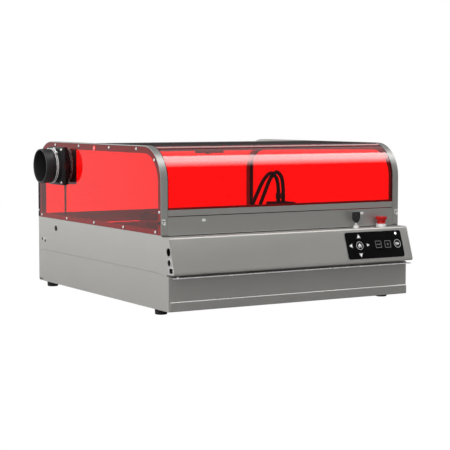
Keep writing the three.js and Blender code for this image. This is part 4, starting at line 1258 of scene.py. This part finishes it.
# Dark low sky behind: the angles where it fades in, and its share of the light.
DUSK, DUSK_SHARE = (160, 172), 0.3
# White seen through the acrylic, and the share of light that reaches the parts behind it.
THROUGH_LEVEL, INDOOR_SHARE = 1.25, 0.6
EYE = (-1.52555, -2.64131, 0.39290)
LOOK_DOWN, LOOK_RIGHT = 4.582, 30.644
LENS, SENSOR = 112.3, 36


def bounces(path):
    """Diffuse and glossy bounces behind a ray, from the outputs of a light path node."""
    return path["Diffuse Depth"], path["Glossy Depth"]


def seen_directly(tree):
    """1 for what the eye sees straight or through a clear sheet, else 0."""
    path = add_node(tree, "LightPath").outputs
    straight = maths(tree, "LESS_THAN", maths(tree, "ADD", *bounces(path)), 0.5)
    clear = maths(tree, "MAXIMUM", path["Is Camera Ray"], path["Is Transmission Ray"])
    return maths(tree, "MULTIPLY", straight, clear)


def floor():
    material, tree = new_tree("pale_floor")
    shader = tree.nodes["Principled BSDF"]
    low, high = ((grey,) * 3 for grey in FLOOR_GREY)
    tint = blend_colour(tree, spread(tree, noise(tree, coordinates(tree), 1.5), 0, 1), low, high)
    fill(tree, shader, {"Base Color": tint, "Roughness": 0.9, "Specular IOR Level": 0.0})
    path = add_node(tree, "LightPath").outputs
    white = spread(tree, path["Is Transmission Ray"], FLOOR_WHITE, THROUGH_LEVEL, 0, 1)
    glow = add_node(tree, "Emission", {"Color": (1, 1, 1, 1), "Strength": white})
    sheen = add_node(tree, "Emission", {"Color": (1, 1, 1, 1), "Strength": LEFT_MIRROR})
    first = add_node(tree, "MixShader", {
        0: path["Is Singular Ray"], 1: shader.outputs[0], 2: sheen.outputs[0]})
    share = maths(tree, "MULTIPLY", seen_directly(tree), FLOOR_SHARE)
    mixed = add_node(tree, "MixShader", {0: share, 1: first.outputs[0], 2: glow.outputs[0]})
    tree.links.new(mixed.outputs[0], tree.nodes["Material Output"].inputs["Surface"])
    mesh = bpy.data.meshes.new("floor")
    turns = (2 * math.pi * i / FLOOR_SIDES for i in range(FLOOR_SIDES))
    rim = [(FLOOR_REACH * math.cos(turn), FLOOR_REACH * math.sin(turn), 0) for turn in turns]
    mesh.from_pydata(rim, [], [list(range(FLOOR_SIDES))])
    mesh.materials.append(material)
    linked("floor", mesh)


def studio_world():
    """White to the eye; its light falls off to the front right, with a soft box above the front."""
    world = bpy.data.worlds.new("studio")
    bpy.context.scene.world = world
    world.use_nodes = True
    tree = world.node_tree

    def times(*values):
        product = values[0]
        for value in values[1:]:
            product = maths(tree, "MULTIPLY", product, value)
        return product

    direction = add_node(tree, "TexCoord").outputs["Generated"]
    axes = add_node(tree, "SeparateXYZ", {"Vector": direction}).outputs
    rise = maths(tree, "ARCTAN2", axes["Z"], times(axes["Y"], -1.0))

    def fade(span, start, end):
        return spread(tree, rise, start, end, *(math.radians(angle) for angle in span))

    rough = spread(tree, axes["X"], LEFT_LEVEL, RIGHT_LEVEL, *SIDE_FALL)
    mirror = spread(tree, axes["X"], LEFT_MIRROR, RIGHT_MIRROR, *SIDE_FALL)
    left = spread(tree, axes["X"], 0.0, 1.0, *BOX_LEFT)
    right = spread(tree, axes["X"], 1.0, 0.0, *BOX_RIGHT)
    cover = times(fade(BOX_LOW, 0.0, 1.0), fade(BOX_HIGH, 1.0, 0.0), left, right)
    dusk = times(fade(DUSK, 0.0, 1.0), left)
    mirror = times(mirror, spread(tree, dusk, 1.0, DUSK_SHARE, 0, 1))
    for amount, start, end in CEILING:
        strip = times(fade(start, 0.0, 1.0), fade(end, 1.0, 0.0), left, amount)
        mirror = maths(tree, "ADD", strip, mirror)
    path = add_node(tree, "LightPath").outputs
    chosen = add_node(tree, "Mix", {
        "Factor": path["Is Singular Ray"],
        2: maths(tree, "ADD", rough, times(cover, BOX_LEVEL)),
        3: maths(tree, "ADD", mirror, times(cover, BOX_MIRROR)),
    }, data_type="FLOAT")
    clear = path["Is Transmission Ray"]
    indoors = times(clear, maths(tree, "ADD", *bounces(path)))
    strength = add_node(tree, "Mix", {
        "Factor": seen_directly(tree),
        2: times(chosen.outputs[0], spread(tree, indoors, 1, INDOOR_SHARE, 0, 1)),
        3: spread(tree, clear, 1.0, THROUGH_LEVEL, 0, 1),
    }, data_type="FLOAT")
    fill(tree, tree.nodes["Background"], {"Strength": strength.outputs[0], "Color": (1, 1, 1, 1)})


def camera():
    data = bpy.data.cameras.new("camera")
    data.lens, data.sensor_width = LENS, SENSOR
    data.clip_start, data.clip_end = 0.1, 50
    thing = linked("camera", data)
    thing.location = EYE
    thing.rotation_euler = (math.radians(90 - LOOK_DOWN), 0, -math.radians(LOOK_RIGHT))
    bpy.context.scene.camera = thing


floor()
studio_world()
camera()
bpy.context.scene.view_settings.view_transform = "Standard"

bpy.context.view_layer.update()
